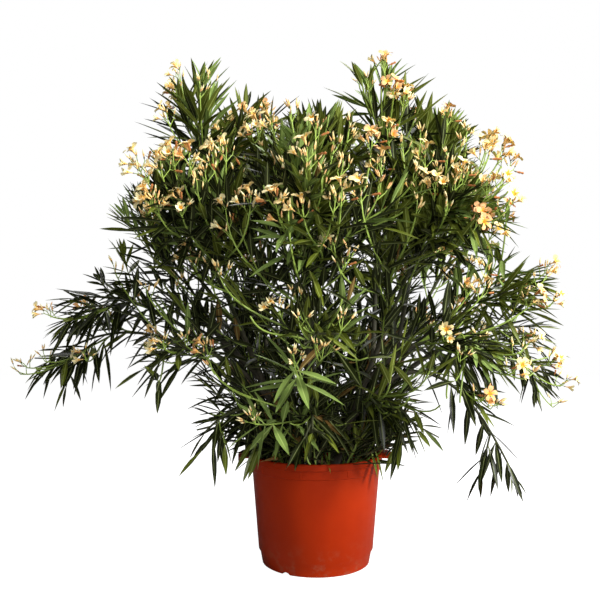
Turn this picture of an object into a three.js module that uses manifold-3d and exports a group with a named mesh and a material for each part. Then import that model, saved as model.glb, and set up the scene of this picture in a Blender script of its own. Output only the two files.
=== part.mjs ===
// A potted oleander: an evergreen shrub of many stems that fan out from a round plastic nursery pot.
// Millimetres, +Z up, +X to the right of the shrub's front and -Y towards its front. The origin is the
// centre of the pot's flat underside, which stands on the ground.
//
// Eight stems leave the soil. Each ends where it enters a shoulder mass of foliage, and boughs fork off them
// to the other masses. A mass is one stem with side twigs, whorls of lance-shaped leaves and open flowers.

import * as THREE from "three";
import { mergeVertices } from "three/addons/utils/BufferGeometryUtils.js";
import Module from "manifold-3d";

const wasm = await Module();
wasm.setup();

// ---- Driving dimensions ----

const GAP = 0.3; // between pieces that touch
const POT_HEIGHT = 245;
const POT_BASE_RADIUS = 121.5;
const POT_FOOT_HEIGHT = 33; // the narrower foot that nests in the pot below
const POT_FOOT_STEP = 2.5; // how far the wall steps out above the foot
const POT_NECK_RADIUS = 147.5; // the wall just below the lip
const POT_LIP_RADIUS = 151;
const POT_LIP_HEIGHT = 15;
const POT_BAND_HEIGHT = 19; // the stacking band below the lip
const POT_BAND_STEP = 1.5;
const POT_WALL = 3;
const POT_SIDES = 40;
const LUG_RADIUS = 177; // the two lifting lugs reach this far from the axis
const LUG_HALF_ANGLE = 17; // degrees
const LUG_THICKNESS = 3;
const LUG_DROP = 12; // the turned-down edge of a lug
const DRAIN_COUNT = 3;
const DRAIN_FIRST_ANGLE = 236.5; // degrees, as seen from above
const DRAIN_WIDTH = 20;
const DRAIN_HEIGHT = 6;

const SOIL_TOP = 214;
const SOIL_SHOULDER = 6; // the soil falls this much towards the wall
const SOIL_FLAT_RADIUS = 95;

const STEM_FOOT_RING = 52; // the stems leave the soil on a circle of this radius
const STEM_FOOT_RADIUS = 10;
const STEM_TIP_RADIUS = 4.5;
const STEM_SHARE = 0.46; // how much of its path is bare stem, before the shoulder mass
const FLARE_GROWTH = 0.5; // the root flare, as a share of the foot's radius
const FLARE_LENGTH = 0.1; // as a share of the path
const FORK_LOWEST = 0.16; // where along its stem's path the lowest limb forks off
const FORK_STEP = 0.07; // from there to the next one up
const BOUGH_FOOT_RADIUS = 5.6;
const AXIS_TIP_RADIUS = 2.8;
const TWIG_RADIUS = 2;
const TWIG_TIP_RADIUS = 1.6;
const TWIG_LENGTH = 120;
const SMALLEST_STEP = 0.1; // facets that differ by less than this are joined

const LEAF_LENGTH = 148;
const LEAF_WIDTH = 32;
const LEAF_RISE = 4.5; // how far the blade stands above the line from root to tip
const LEAF_WIDEST = 0.45; // of the way from root to tip
const TIP_MARGIN = 44; // from the end of a mass's own stem to its reach: room for the flower there
const LEAF_SPACING = 15; // between the middles of two leaves of one mass
const FLOWER_RADIUS = 30;
const FLOWER_TUBE = 34;

const WHORL = 3; // leaves to a whorl
const WHORL_STAGGER = 3; // between the roots of its leaves, along the twig
const TWIGS_PER_MASS = 5;
const WHORLS_ON_AXIS = 4;
const GOLDEN_ANGLE = 137.5; // degrees

// Compass of the shrub, in degrees anticlockwise from +X as seen from above.
const DIRECTIONS = {
  right: 0,
  back_right: 45,
  back: 90,
  back_left: 135,
  left: 180,
  front_left: 225,
  front: 270,
  front_right: 315,
};
const SIX_WAYS = ["front", "front_left", "front_right", "back", "back_left", "back_right"];
const EIGHT_WAYS = Object.keys(DIRECTIONS);
const THREE_WAYS = ["right", "back_left", "front"];

// Rings of masses that make up the dome. Elevation is above the horizon at the soil's centre. Reach is from
// there to the mass's furthest leaf, with an extra to the left and right that is named wider. Arch lifts the
// middle of the limb's path, droop is how far leaves hang, and lowest is the height that they keep above.
// Bare is the share of the path before the mass, and taper is how steeply its outline falls away.
const USUAL_MASS = { wider: 0, arch: 0, droop: 0, lowest: 335, bare: 0.48, taper: 0.6 };
const RINGS = [
  { kind: "shoulder", at: EIGHT_WAYS, elevation: 57, reach: 775, wider: 25, arch: 0.03, bare: STEM_SHARE },
  { kind: "crown", at: THREE_WAYS, elevation: 72, reach: 815, wider: 75, bare: 0.5 },
  { kind: "flank", at: SIX_WAYS, elevation: 31, reach: 570, arch: 0.18, droop: 0.1, lowest: 300, bare: 0.4 },
  { kind: "skirt", at: SIX_WAYS, elevation: 17, reach: 355, arch: 0.25, droop: 0.2, lowest: 200, bare: 0 },
];

// Masses that stand out of the dome: its two tall tufts, and the arms to the left and to the right.
const OUTLIERS = [
  { name: "tuft_left", from: "left", azimuth: 188, elevation: 72.7, reach: 962, arch: -0.04 },
  { name: "tuft_right", from: "front_right", azimuth: 338, elevation: 80, reach: 943, arch: -0.03 },
  { name: "arm_left_tip", from: "left", azimuth: 179, elevation: 18.5, reach: 725, arch: 0.26, taper: 0.9 },
  { name: "arm_left_upper", from: "left", azimuth: 192, elevation: 34, reach: 712, arch: 0.18 },
  { name: "arm_left_inner", from: "front_left", azimuth: 205, elevation: 45.4, reach: 653, arch: 0.06 },
  { name: "arm_right_upper", from: "right", azimuth: 345, elevation: 42.6, reach: 694, arch: 0.08 },
  { name: "arm_right_middle", from: "right", azimuth: 357, elevation: 31.5, reach: 650, arch: 0.13 },
  { name: "arm_right_tip", from: "right", azimuth: 12, elevation: 18, reach: 675, arch: 0.26, taper: 0.9 },
  {
    name: "arm_right_drooping",
    from: "front_right",
    azimuth: 350,
    elevation: -3.7,
    reach: 492,
    arch: 0.45,
    lowest: 160,
    taper: 0.9,
  },
];

// ---- Small helpers ----

const radians = THREE.MathUtils.degToRad;
const lerp = THREE.MathUtils.lerp;
const UP = new THREE.Vector3(0, 0, 1);
const ACROSS = new THREE.Vector3(1, 0, 0);
const SOIL_CENTRE = new THREE.Vector3(0, 0, SOIL_TOP);

// A repeatable random number generator, so that each mass always grows the same way.
function randomFrom(seed) {
  let state = (seed * 7919 + 104729) >>> 0;
  const next = () => {
    state = (Math.imul(state, 1664525) + 1013904223) >>> 0;
    return state / 4294967296;
  };
  next();
  next();
  return next;
}

function pointAt(azimuth, elevation, distance) {
  const level = Math.cos(radians(elevation)) * distance;
  return new THREE.Vector3(
    Math.cos(radians(azimuth)) * level,
    Math.sin(radians(azimuth)) * level,
    SOIL_TOP + Math.sin(radians(elevation)) * distance,
  );
}

// Two directions at right angles to a tangent, by the same rule everywhere.
function sideways(tangent) {
  const reference = Math.abs(tangent.z) < 0.95 ? UP : ACROSS;
  const first = new THREE.Vector3().crossVectors(tangent, reference).normalize();
  const second = new THREE.Vector3().crossVectors(tangent, first);
  return [first, second];
}

function radial(tangent, angle) {
  const [first, second] = sideways(tangent);
  return first.multiplyScalar(Math.cos(radians(angle))).addScaledVector(second, Math.sin(radians(angle)));
}

// The direction that leaves a tangent at a pitch, turned by an angle about it, and pulled down by droop.
function leaving(tangent, angle, pitch, droop) {
  return tangent
    .clone()
    .multiplyScalar(Math.cos(radians(pitch)))
    .addScaledVector(radial(tangent, angle), Math.sin(radians(pitch)))
    .addScaledVector(UP, -droop)
    .normalize();
}

// ---- Turning geometry into solids ----

function solidOf(geometry) {
  const bare = geometry.clone();
  bare.deleteAttribute("normal");
  bare.deleteAttribute("uv");
  const merged = mergeVertices(bare, 1e-4);
  return new wasm.Manifold(
    new wasm.Mesh({
      numProp: 3,
      vertProperties: merged.attributes.position.array,
      triVerts: new Uint32Array(merged.index.array),
    }),
  );
}

function geometryOf(solid) {
  const mesh = solid.getMesh();
  const positions = new Float32Array(mesh.numVert * 3);
  for (let i = 0; i < mesh.numVert; i++) {
    positions.set(mesh.vertProperties.subarray(i * mesh.numProp, i * mesh.numProp + 3), i * 3);
  }
  const geometry = new THREE.BufferGeometry();
  geometry.setAttribute("position", new THREE.BufferAttribute(positions, 3));
  geometry.setIndex(new THREE.BufferAttribute(new Uint32Array(mesh.triVerts), 1));
  geometry.computeVertexNormals();
  return geometry;
}

// Moves each vertex of a geometry by a rule.
function reshape(geometry, rule) {
  const position = geometry.attributes.position;
  const vertex = new THREE.Vector3();
  for (let i = 0; i < position.count; i++) {
    rule(vertex.fromBufferAttribute(position, i));
    position.setXYZ(i, vertex.x, vertex.y, vertex.z);
  }
  return geometry;
}

// A closed tapering tube: a cylinder whose height follows the path between two shares of it. Crowding over 1
// draws its rows together towards the start.
function tubeSolid(path, sides, segments, radiusAt, from = 0, to = 1, crowding = 1) {
  const tube = new THREE.CylinderGeometry(1, 1, 1, sides, segments);
  reshape(tube, (vertex) => {
    const t = lerp(from, to, (vertex.y + 0.5) ** crowding);
    const [first, second] = sideways(path.getTangent(t));
    const radius = radiusAt(t);
    const [across, along] = [vertex.x * radius, -vertex.z * radius];
    vertex.copy(path.getPoint(t)).addScaledVector(first, across).addScaledVector(second, along);
  });
  return solidOf(tube);
}

// ---- Pot and soil ----

function latheSolid(profile) {
  const points = profile.map(([radius, height]) => new THREE.Vector2(radius, height));
  return solidOf(new THREE.LatheGeometry(points, POT_SIDES).rotateX(Math.PI / 2));
}

// The pot's outer radius at a height, below the stacking band.
function potRadius(height) {
  const foot = POT_BASE_RADIUS + (height / POT_FOOT_HEIGHT) * 6;
  const wallFrom = POT_BASE_RADIUS + 6 + POT_FOOT_STEP;
  const share = (height - POT_FOOT_HEIGHT) / (POT_HEIGHT - POT_FOOT_HEIGHT);
  const wall = lerp(wallFrom, POT_NECK_RADIUS, share);
  return height < POT_FOOT_HEIGHT ? foot : wall;
}

function potSolid() {
  const lipFoot = POT_HEIGHT - POT_LIP_HEIGHT;
  const bandFoot = lipFoot - POT_BAND_HEIGHT;
  const outer = [
    [0, 0],
    [POT_BASE_RADIUS, 0],
    [potRadius(POT_FOOT_HEIGHT - 6), POT_FOOT_HEIGHT - 6],
    [potRadius(POT_FOOT_HEIGHT), POT_FOOT_HEIGHT],
    [potRadius(bandFoot), bandFoot],
    [potRadius(bandFoot + 2) + POT_BAND_STEP, bandFoot + 2],
    [potRadius(lipFoot) + POT_BAND_STEP, lipFoot],
    [POT_LIP_RADIUS, lipFoot + 1.5],
    [POT_LIP_RADIUS, POT_HEIGHT - 1],
    [POT_LIP_RADIUS - 1, POT_HEIGHT],
  ];
  const inner = [
    [potRadius(POT_HEIGHT) - POT_WALL, POT_HEIGHT],
    [potRadius(POT_FOOT_HEIGHT) - POT_WALL, POT_FOOT_HEIGHT],
    [potRadius(POT_WALL) - POT_WALL, POT_WALL],
    [0, POT_WALL],
  ];
  const lugs = [0, 180].map((azimuth) => lugSolid().rotate([0, 0, azimuth]));
  const drains = Array.from({ length: DRAIN_COUNT }, (_, i) => {
    return drainSolid(DRAIN_FIRST_ANGLE + (i * 360) / DRAIN_COUNT);
  });
  const body = wasm.Manifold.union([latheSolid([...outer, ...inner]), ...lugs]);
  return body.subtract(wasm.Manifold.union(drains));
}

// A flat sector of a ring about the pot's axis, between two heights, centred on +X.
function sectorSolid(innerRadius, outerRadius, low, high) {
  const half = radians(LUG_HALF_ANGLE);
  const outline = new THREE.Shape();
  outline.absarc(0, 0, outerRadius, -half, half, false);
  outline.absarc(0, 0, innerRadius, half, -half, true);
  const settings = { depth: high - low, bevelEnabled: false, curveSegments: 6 };
  return solidOf(new THREE.ExtrudeGeometry(outline, settings)).translate([0, 0, low]);
}

function lugSolid() {
  const top = POT_HEIGHT - 1.5;
  const plate = sectorSolid(POT_LIP_RADIUS - 2, LUG_RADIUS, top - LUG_THICKNESS, top);
  const edge = sectorSolid(LUG_RADIUS - LUG_THICKNESS, LUG_RADIUS, top - LUG_DROP, top);
  return plate.add(edge);
}

// An arched notch through the bottom of the foot, at an angle about the axis.
function drainSolid(angle) {
  const arch = new THREE.Shape();
  arch.moveTo(-DRAIN_WIDTH / 2, -1);
  arch.lineTo(DRAIN_WIDTH / 2, -1);
  arch.quadraticCurveTo(0, DRAIN_HEIGHT * 2, -DRAIN_WIDTH / 2, -1);
  const depth = 24;
  const cutter = new THREE.ExtrudeGeometry(arch, { depth, bevelEnabled: false, curveSegments: 5 });
  cutter.rotateX(Math.PI / 2).translate(0, -POT_BASE_RADIUS + depth / 2 + 2, 0);
  cutter.rotateZ(radians(angle - 270));
  return solidOf(cutter);
}

function soilSolid() {
  const inside = (height) => potRadius(height) - POT_WALL - GAP;
  const low = POT_WALL + GAP;
  return latheSolid([
    [0, low],
    [inside(low) - GAP, low],
    [inside(POT_FOOT_HEIGHT) - POT_FOOT_STEP, POT_FOOT_HEIGHT],
    [inside(SOIL_TOP) - POT_FOOT_STEP, SOIL_TOP - SOIL_SHOULDER],
    [SOIL_FLAT_RADIUS, SOIL_TOP],
    [0, SOIL_TOP],
  ]);
}

// ---- The plan of the shrub: the path of each mass's limb ----

function ringMasses() {
  const random = randomFrom(1);
  return RINGS.flatMap((ring) =>
    ring.at.map((direction) => {
      const towardsSide = Math.abs(Math.cos(radians(DIRECTIONS[direction])));
      return {
        ...USUAL_MASS,
        ...ring,
        name: `${ring.kind}_${direction}`,
        from: direction,
        azimuth: DIRECTIONS[direction] + (random() - 0.5) * 14,
        elevation: ring.elevation + (random() - 0.5) * 5,
        reach: ring.reach + (ring.wider ?? USUAL_MASS.wider) * towardsSide + (random() - 0.5) * 40,
      };
    }),
  );
}

function plannedMasses() {
  const outliers = OUTLIERS.map((mass) => ({ ...USUAL_MASS, kind: "outlier", ...mass }));
  return [...ringMasses(), ...outliers].map((mass, index) => ({
    ...mass,
    seed: index + 11,
    leaves: [],
    twigs: [],
    outward: pointAt(mass.azimuth, mass.elevation, 1).sub(SOIL_CENTRE),
  }));
}

// The path that a mass's limb follows, from the soil or from its fork to the tip of the mass's own stem.
function archedPath(start, mass) {
  const tip = pointAt(mass.azimuth, mass.elevation, mass.reach - TIP_MARGIN);
  const lift = mass.arch * 2 * start.distanceTo(tip);
  const middle = start.clone().lerp(tip, 0.5).addScaledVector(UP, lift);
  return new THREE.QuadraticBezierCurve3(start, middle, tip);
}

const masses = plannedMasses();
const stems = {};
for (const mass of masses.filter((m) => m.kind === "shoulder")) {
  const foot = pointAt(mass.azimuth, 0, STEM_FOOT_RING);
  foot.z -= STEM_FOOT_RADIUS;
  mass.path = archedPath(foot, mass);
  stems[mass.from] = mass;
}

// The lower a mass lies, the lower its limb forks off its stem.
for (const stem of Object.values(stems)) {
  const fed = masses.filter((m) => m.from === stem.from && m !== stem);
  fed.sort((a, b) => a.elevation - b.elevation);
  fed.forEach((mass, i) => {
    mass.path = archedPath(stem.path.getPoint(FORK_LOWEST + i * FORK_STEP), mass);
  });
}

// ---- Limbs ----

function stemRadius(t) {
  const flare = 1 + FLARE_GROWTH * Math.max(0, 1 - t / FLARE_LENGTH) ** 2;
  return lerp(STEM_FOOT_RADIUS, STEM_TIP_RADIUS, t / STEM_SHARE) * flare;
}

// The radius of a mass's limb, and beyond that of its own stem, at t along the path.
function limbRadius(mass, t) {
  if (mass.kind !== "shoulder") {
    return lerp(BOUGH_FOOT_RADIUS, AXIS_TIP_RADIUS, t);
  }
  return t <= STEM_SHARE
    ? stemRadius(t)
    : lerp(STEM_TIP_RADIUS, AXIS_TIP_RADIUS, (t - STEM_SHARE) / (1 - STEM_SHARE));
}

// A stem, cut flat at the soil. Room makes it larger, for cutting its neighbours clear of it.
function stemSolid(mass, room = 0) {
  const radiusAt = (t) => stemRadius(t) + room;
  const tube = tubeSolid(mass.path, 7, 5, radiusAt, 0, STEM_SHARE, 1.6);
  return tube.trimByPlane([0, 0, 1], SOIL_TOP + GAP - room);
}

// A limb that is cut clear of its stem leaves a sliver on the stem's far side, which is dropped.
function largestBody(solid) {
  return solid.decompose().reduce((a, b) => (b.volume() > a.volume() ? b : a));
}

function boughSolid(mass) {
  const radiusAt = (t) => limbRadius(mass, t);
  const tube = tubeSolid(mass.path, 5, 4, radiusAt, 0, mass.bare);
  return largestBody(tube.subtract(stemSolid(stems[mass.from], GAP)));
}

// ---- Which space belongs to which mass ----

const CELL_MARGIN = 1.5;
const SPINE_PARTS = 4;
for (const mass of masses) {
  const points = Array.from({ length: SPINE_PARTS + 1 }, (_, i) => {
    return mass.path.getPoint(lerp(Math.max(mass.bare, 0.2), 1, i / SPINE_PARTS));
  });
  points.push(points.at(-1).clone().addScaledVector(mass.path.getTangent(1), TIP_MARGIN));
  mass.spine = points.slice(1).map((point, i) => new THREE.Line3(points[i], point));
}

const nearest = new THREE.Vector3();
function distanceToLines(lines, point) {
  return Math.min(...lines.map((line) => line.closestPointToPoint(point, true, nearest).distanceTo(point)));
}

// A mass owns the points that are nearer to its own stem than to any other mass's.
function owns(mass, point, margin) {
  const own = distanceToLines(mass.spine, point);
  return masses.every((other) => other === mass || distanceToLines(other.spine, point) - own >= 2 * margin);
}

// Every limb and mass's own stem as short straight stretches, for keeping twigs and leaves off them.
const STRETCHES = 10;
const stretches = masses.flatMap((mass) =>
  Array.from({ length: STRETCHES }, (_, i) => ({
    mass,
    line: new THREE.Line3(mass.path.getPoint(i / STRETCHES), mass.path.getPoint((i + 1) / STRETCHES)),
    radius: limbRadius(mass, i / STRETCHES),
    isOwnStem: (i + 1) / STRETCHES > mass.bare,
  })),
);

function clearOfLimbs(mass, point, room) {
  return stretches.every(({ mass: other, line, radius, isOwnStem }) => {
    if (other === mass && isOwnStem) {
      return true;
    }
    line.closestPointToPoint(point, true, nearest);
    return nearest.distanceTo(point) > radius + room + 2;
  });
}

function clearOfPot(point) {
  return point.z > POT_HEIGHT + 8 || Math.hypot(point.x, point.y) > LUG_RADIUS + 8;
}

// Whether a point lies within the mass's outline, which falls away on all sides of its own stem.
function withinReach(mass, point) {
  const along = point.clone().sub(SOIL_CENTRE).dot(mass.outward);
  return along + mass.taper * distanceToLines(mass.spine, point) < mass.reach;
}

// Whether a point of a twig or leaf, with room for its width, may lie there.
function isFree(mass, point, room) {
  return (
    point.z > mass.lowest &&
    withinReach(mass, point) &&
    clearOfPot(point) &&
    owns(mass, point, CELL_MARGIN + room) &&
    clearOfLimbs(mass, point, room)
  );
}

// ---- Leaves, flowers and twigs ----

function meshOfFaces(faces) {
  const geometry = new THREE.BufferGeometry();
  geometry.setAttribute("position", new THREE.Float32BufferAttribute(faces.flat(2), 3));
  return geometry;
}

// A lance-shaped leaf along +Y from its root at the origin: a blade with a keel below it, from root to tip.
function leafSolid(length, width) {
  const root = [0, 0, 0];
  const tip = [0, length, 0];
  const left = [-width / 2, length * LEAF_WIDEST, LEAF_RISE];
  const right = [width / 2, length * LEAF_WIDEST, LEAF_RISE];
  const blade = [
    [root, right, left],
    [left, right, tip],
  ];
  const keel = [
    [root, tip, right],
    [root, left, tip],
  ];
  return solidOf(meshOfFaces([...blade, ...keel]));
}

// An open flower above its tube, along +Y: a cone whose rim is drawn out into five petals.
function flowerSolid(size) {
  const points = 10;
  const cone = new THREE.ConeGeometry(1, 1, points).rotateX(Math.PI);
  reshape(cone, (vertex) => {
    const isRim = Math.hypot(vertex.x, vertex.z) > 0.5;
    const place = Math.round((Math.atan2(vertex.x, vertex.z) / (2 * Math.PI)) * points);
    const isPetal = isRim && place % 2 === 0;
    const spread = (isPetal ? 1 : 0.5) * FLOWER_RADIUS;
    const mouth = FLOWER_TUBE + (isPetal ? 2 : -4);
    const height = vertex.y < 0 ? 0 : mouth;
    vertex.set(vertex.x * spread, height, vertex.z * spread).multiplyScalar(size);
  });
  return solidOf(cone);
}

// Turns a solid that grows along +Y so that it grows from a root along a direction, its upper side up.
function grown(solid, root, direction) {
  const side = new THREE.Vector3().crossVectors(direction, UP);
  if (side.length() < 0.05) {
    side.crossVectors(direction, ACROSS);
  }
  side.normalize();
  const face = new THREE.Vector3().crossVectors(side, direction);
  const matrix = new THREE.Matrix4().makeBasis(side, direction, face).setPosition(root);
  return solid.transform(matrix.elements);
}

// Whether a piece of a given length and half width may grow there without leaving its space.
function fits(mass, root, direction, length, halfWidth) {
  const steps = 5;
  return Array.from({ length: steps }, (_, i) => (i + 1) / steps).every((share) => {
    const taper = Math.max(0, 1 - Math.abs(share - LEAF_WIDEST) / 0.6);
    return isFree(mass, root.clone().addScaledVector(direction, share * length), halfWidth * taper);
  });
}

function outerPoints(root, direction, length) {
  const shares = [0.35, 0.5, 0.65, 0.8, 0.95];
  return shares.map((share) => root.clone().addScaledVector(direction, share * length));
}

// Whether a leaf stays off the leaves and twigs that its mass already has.
function clearOfOwn(mass, points) {
  return points.every(
    (point) =>
      mass.leaves.every((other) => point.distanceTo(other) > LEAF_SPACING) &&
      distanceToLines(mass.twigs, point) > LEAF_WIDTH / 3,
  );
}

// A whorl of leaves about a tangent. A leaf that doesn't fit is tried shorter, then closer to the twig, and
// then left out.
function whorl(mass, place, tangent, turn, pitch, random) {
  const tries = [
    { share: 1, closer: 0 },
    { share: 0.75, closer: 0 },
    { share: 0.55, closer: 0 },
    { share: 0.7, closer: 18 },
  ];
  const made = [];
  for (let i = 0; i < WHORL; i++) {
    const root = place.clone().addScaledVector(tangent, (i - 1) * WHORL_STAGGER);
    const full = LEAF_LENGTH * (0.85 + 0.3 * random());
    const leaves = tries.map(({ share, closer }) => ({
      length: full * share,
      direction: leaving(tangent, turn + (i * 360) / WHORL, pitch - closer, mass.droop),
    }));
    const leaf = leaves.find(
      ({ length, direction }) =>
        fits(mass, root, direction, length, LEAF_WIDTH / 2) &&
        clearOfOwn(mass, outerPoints(root, direction, length)),
    );
    if (leaf) {
      const width = LEAF_WIDTH * lerp(0.4, 1, leaf.length / LEAF_LENGTH);
      made.push(grown(leafSolid(leaf.length, width), root, leaf.direction));
      mass.leaves.push(...outerPoints(root, leaf.direction, leaf.length));
    }
  }
  return made;
}

// Whorls follow each other turned by half a step, so that leaves stand over gaps.
function whorlTurn(index) {
  return index % 2 ? 60 : 120;
}

// The side twigs of a mass: spaced along its own stem by the golden angle.
function plannedTwigs(mass) {
  const random = randomFrom(mass.seed);
  return Array.from({ length: TWIGS_PER_MASS }, (_, i) => {
    const t = lerp(mass.bare, 1, 0.16 + 0.7 * (i / (TWIGS_PER_MASS - 1)));
    const turn = i * GOLDEN_ANGLE + random() * 50;
    const direction = leaving(mass.path.getTangent(t), turn, 40 + 14 * random(), mass.droop * 0.25);
    const full = TWIG_LENGTH * (1.2 - 0.5 * (i / TWIGS_PER_MASS)) * (0.8 + 0.4 * random());
    const root = mass.path.getPoint(t);
    const length = [full, full * 0.7, full * 0.45].find((l) => fits(mass, root, direction, l, TWIG_RADIUS));
    return { root, direction, length };
  }).filter((twig) => twig.length);
}

function twigSolids(mass, { root, direction, length }, index, random) {
  const end = root.clone().addScaledVector(direction, length);
  const line = new THREE.LineCurve3(root, end);
  const stalk = tubeSolid(line, 3, 1, (t) => lerp(TWIG_RADIUS, TWIG_TIP_RADIUS, t));
  const places = [length - 5 * WHORL_STAGGER, length / 2].map((along) => {
    return root.clone().addScaledVector(direction, along);
  });
  mass.twigs.push(new THREE.Line3(line.getPoint(0.2), end));
  const leaves = places.flatMap((place, i) => {
    return whorl(mass, place, direction, whorlTurn(index + i), 40 + 12 * i, random);
  });
  const flowers = index === 2 ? flowerAt(mass, end, direction, 0.8) : [];
  return [stalk, ...leaves, ...flowers];
}

function axisWhorls(mass, random) {
  return Array.from({ length: WHORLS_ON_AXIS }, (_, i) => {
    const t = lerp(mass.bare, 1, 0.14 + 0.78 * (i / (WHORLS_ON_AXIS - 1)));
    const pitch = 60 - 26 * (i / (WHORLS_ON_AXIS - 1));
    return whorl(mass, mass.path.getPoint(t), mass.path.getTangent(t), whorlTurn(i), pitch, random);
  }).flat();
}

// A flower that opens at the end of a twig or of the mass's own stem, along its line.
function flowerAt(mass, end, direction, size) {
  const root = end.clone().addScaledVector(direction, -WHORL_STAGGER);
  const blooms = fits(mass, end, direction, FLOWER_TUBE * size, FLOWER_RADIUS * size * 0.7);
  return blooms && mass.kind !== "skirt" ? [grown(flowerSolid(size), root, direction)] : [];
}

function massSolid(mass) {
  const random = randomFrom(mass.seed + 500);
  const from = mass.bare ? mass.bare + GAP / mass.path.getLength() : 0;
  const ownStem = tubeSolid(mass.path, 3, 4, (t) => limbRadius(mass, t), from, 1);
  const twigs = plannedTwigs(mass).flatMap((twig, i) => twigSolids(mass, twig, i, random));
  const whorls = axisWhorls(mass, random);
  const flowers = flowerAt(mass, mass.path.getPoint(1), mass.path.getTangent(1), 1);
  const joined = wasm.Manifold.union([ownStem, ...twigs, ...whorls, ...flowers]);
  const cut = mass.bare ? joined : joined.subtract(stemSolid(stems[mass.from], GAP));
  return largestBody(cut.asOriginal().simplify(SMALLEST_STEP));
}

// ---- Materials and the finished group ----

const plastic = new THREE.MeshStandardMaterial({ color: 0xb8431c, roughness: 0.42, metalness: 0 });
const peat = new THREE.MeshStandardMaterial({ color: 0x2e2118, roughness: 0.95, metalness: 0 });
const bark = new THREE.MeshStandardMaterial({ color: 0x5c5442, roughness: 0.85, metalness: 0 });
const green = new THREE.MeshStandardMaterial({ color: 0x35441d, roughness: 0.5, metalness: 0 });

const oleander = new THREE.Group();
function addNode(name, solid, material) {
  const mesh = new THREE.Mesh(geometryOf(solid), material);
  mesh.name = name;
  oleander.add(mesh);
}

addNode("pot", potSolid(), plastic);
addNode("soil", soilSolid(), peat);
for (const mass of masses) {
  if (mass.kind === "shoulder") {
    addNode(`stem_${mass.from}`, stemSolid(mass), bark);
  } else if (mass.bare) {
    addNode(`bough_${mass.name}`, boughSolid(mass), bark);
  }
  addNode(`foliage_${mass.name}`, massSolid(mass), green);
}

export default oleander;
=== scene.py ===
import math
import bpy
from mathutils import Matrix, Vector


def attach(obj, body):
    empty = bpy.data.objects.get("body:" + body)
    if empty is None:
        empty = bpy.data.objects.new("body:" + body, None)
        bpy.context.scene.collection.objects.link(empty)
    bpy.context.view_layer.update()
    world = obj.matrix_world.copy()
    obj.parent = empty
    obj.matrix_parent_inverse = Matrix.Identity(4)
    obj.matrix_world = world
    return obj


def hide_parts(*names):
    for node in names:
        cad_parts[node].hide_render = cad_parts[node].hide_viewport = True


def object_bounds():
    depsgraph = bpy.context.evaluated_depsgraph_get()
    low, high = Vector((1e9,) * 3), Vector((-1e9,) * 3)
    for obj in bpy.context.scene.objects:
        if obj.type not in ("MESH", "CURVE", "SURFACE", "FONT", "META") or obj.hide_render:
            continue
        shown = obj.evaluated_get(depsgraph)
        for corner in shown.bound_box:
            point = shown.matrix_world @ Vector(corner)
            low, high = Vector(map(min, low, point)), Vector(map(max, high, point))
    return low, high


bl_info = {
    "name": "Potted Oleander",
    "version": (1, 0, 0),
    "blender": (4, 5, 0),
    "location": "View3D > Sidebar > Oleander",
    "description": "Dresses the oleander's solids with a moulded pot, soil, bark, leaves and blossom",
    "category": "Add Mesh",
}

import bmesh
import bpy
import numpy as np
from bpy.props import FloatProperty, FloatVectorProperty, IntProperty, PointerProperty
from mathutils import Vector, noise

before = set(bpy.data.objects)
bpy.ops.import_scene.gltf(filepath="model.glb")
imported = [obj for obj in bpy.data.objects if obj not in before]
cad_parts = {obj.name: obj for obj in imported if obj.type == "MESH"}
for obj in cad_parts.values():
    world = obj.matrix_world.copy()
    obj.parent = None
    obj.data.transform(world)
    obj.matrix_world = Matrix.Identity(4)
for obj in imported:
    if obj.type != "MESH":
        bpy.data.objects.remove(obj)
CAD_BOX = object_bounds()

MM = 0.001

# The source's sizes, in millimetres. Everything that grows is worked out in millimetres and made in metres.

POT_HEIGHT = 245
POT_BASE_RADIUS = 121.5
POT_FOOT_FLARE = 6
POT_FOOT_HEIGHT = 33
POT_FOOT_STEP = 2.5
POT_NECK_RADIUS = 147.5
POT_LIP_RADIUS = 151
POT_LIP_HEIGHT = 15
POT_BAND_HEIGHT = 19
POT_BAND_STEP = 1.5
POT_WALL = 3
LUG_RADIUS = 177
LUG_HALF_ANGLE = 17
LUG_THICKNESS = 3
LUG_DROP = 12
DRAIN_ANGLES = (236.5, 356.5, 116.5)
DRAIN_WIDTH = 20
DRAIN_HEIGHT = 6
RIB_FIRST_ANGLE = 256
RIB_MARGIN = 1.9
RIB_SLOPE = 0.2

SOIL_TOP = 214
SOIL_SHOULDER = 6
SOIL_FLAT_RADIUS = 95
SOIL_GAP = 0.6
SOIL_RINGS = 30
SOIL_LUMPS = ((0.022, 1.0), (0.006, 0.5))

# The crumbs strewn on the soil: name, count, least and greatest size, height as a share of that, and finish
# (name, two colours, fineness of the mottling, roughness and relief).
CRUMBS_RADIUS = 128
CRUMBS_SUNK = 1.2
CRUMBS = (
    ("soil_grit", 190, 1.2, 2.6, 0.8,
     ("perlite", (0.62, 0.6, 0.55), (0.4, 0.37, 0.31), 700, 0.9, 0.0006)),
    ("soil_chips", 260, 2.5, 7.0, 0.3,
     ("bark_chips", (0.09, 0.05, 0.028), (0.2, 0.12, 0.065), 300, 0.9, 0.0008)),
)

# The fallen leaves on the soil. None reaches further from the middle than LITTER_REACH.
LITTER_COUNT = 34
LITTER_RADIUS = 118
LITTER_REACH = 132
LITTER_LENGTHS = (50, 95)
LITTER_SHORTEST = 20
LITTER_RISE = 0.06
LITTER_SAG = -0.03
LITTER_TURN = 70
LITTER_TWIST = 120
LITTER_HEIGHT = 2.5

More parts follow.
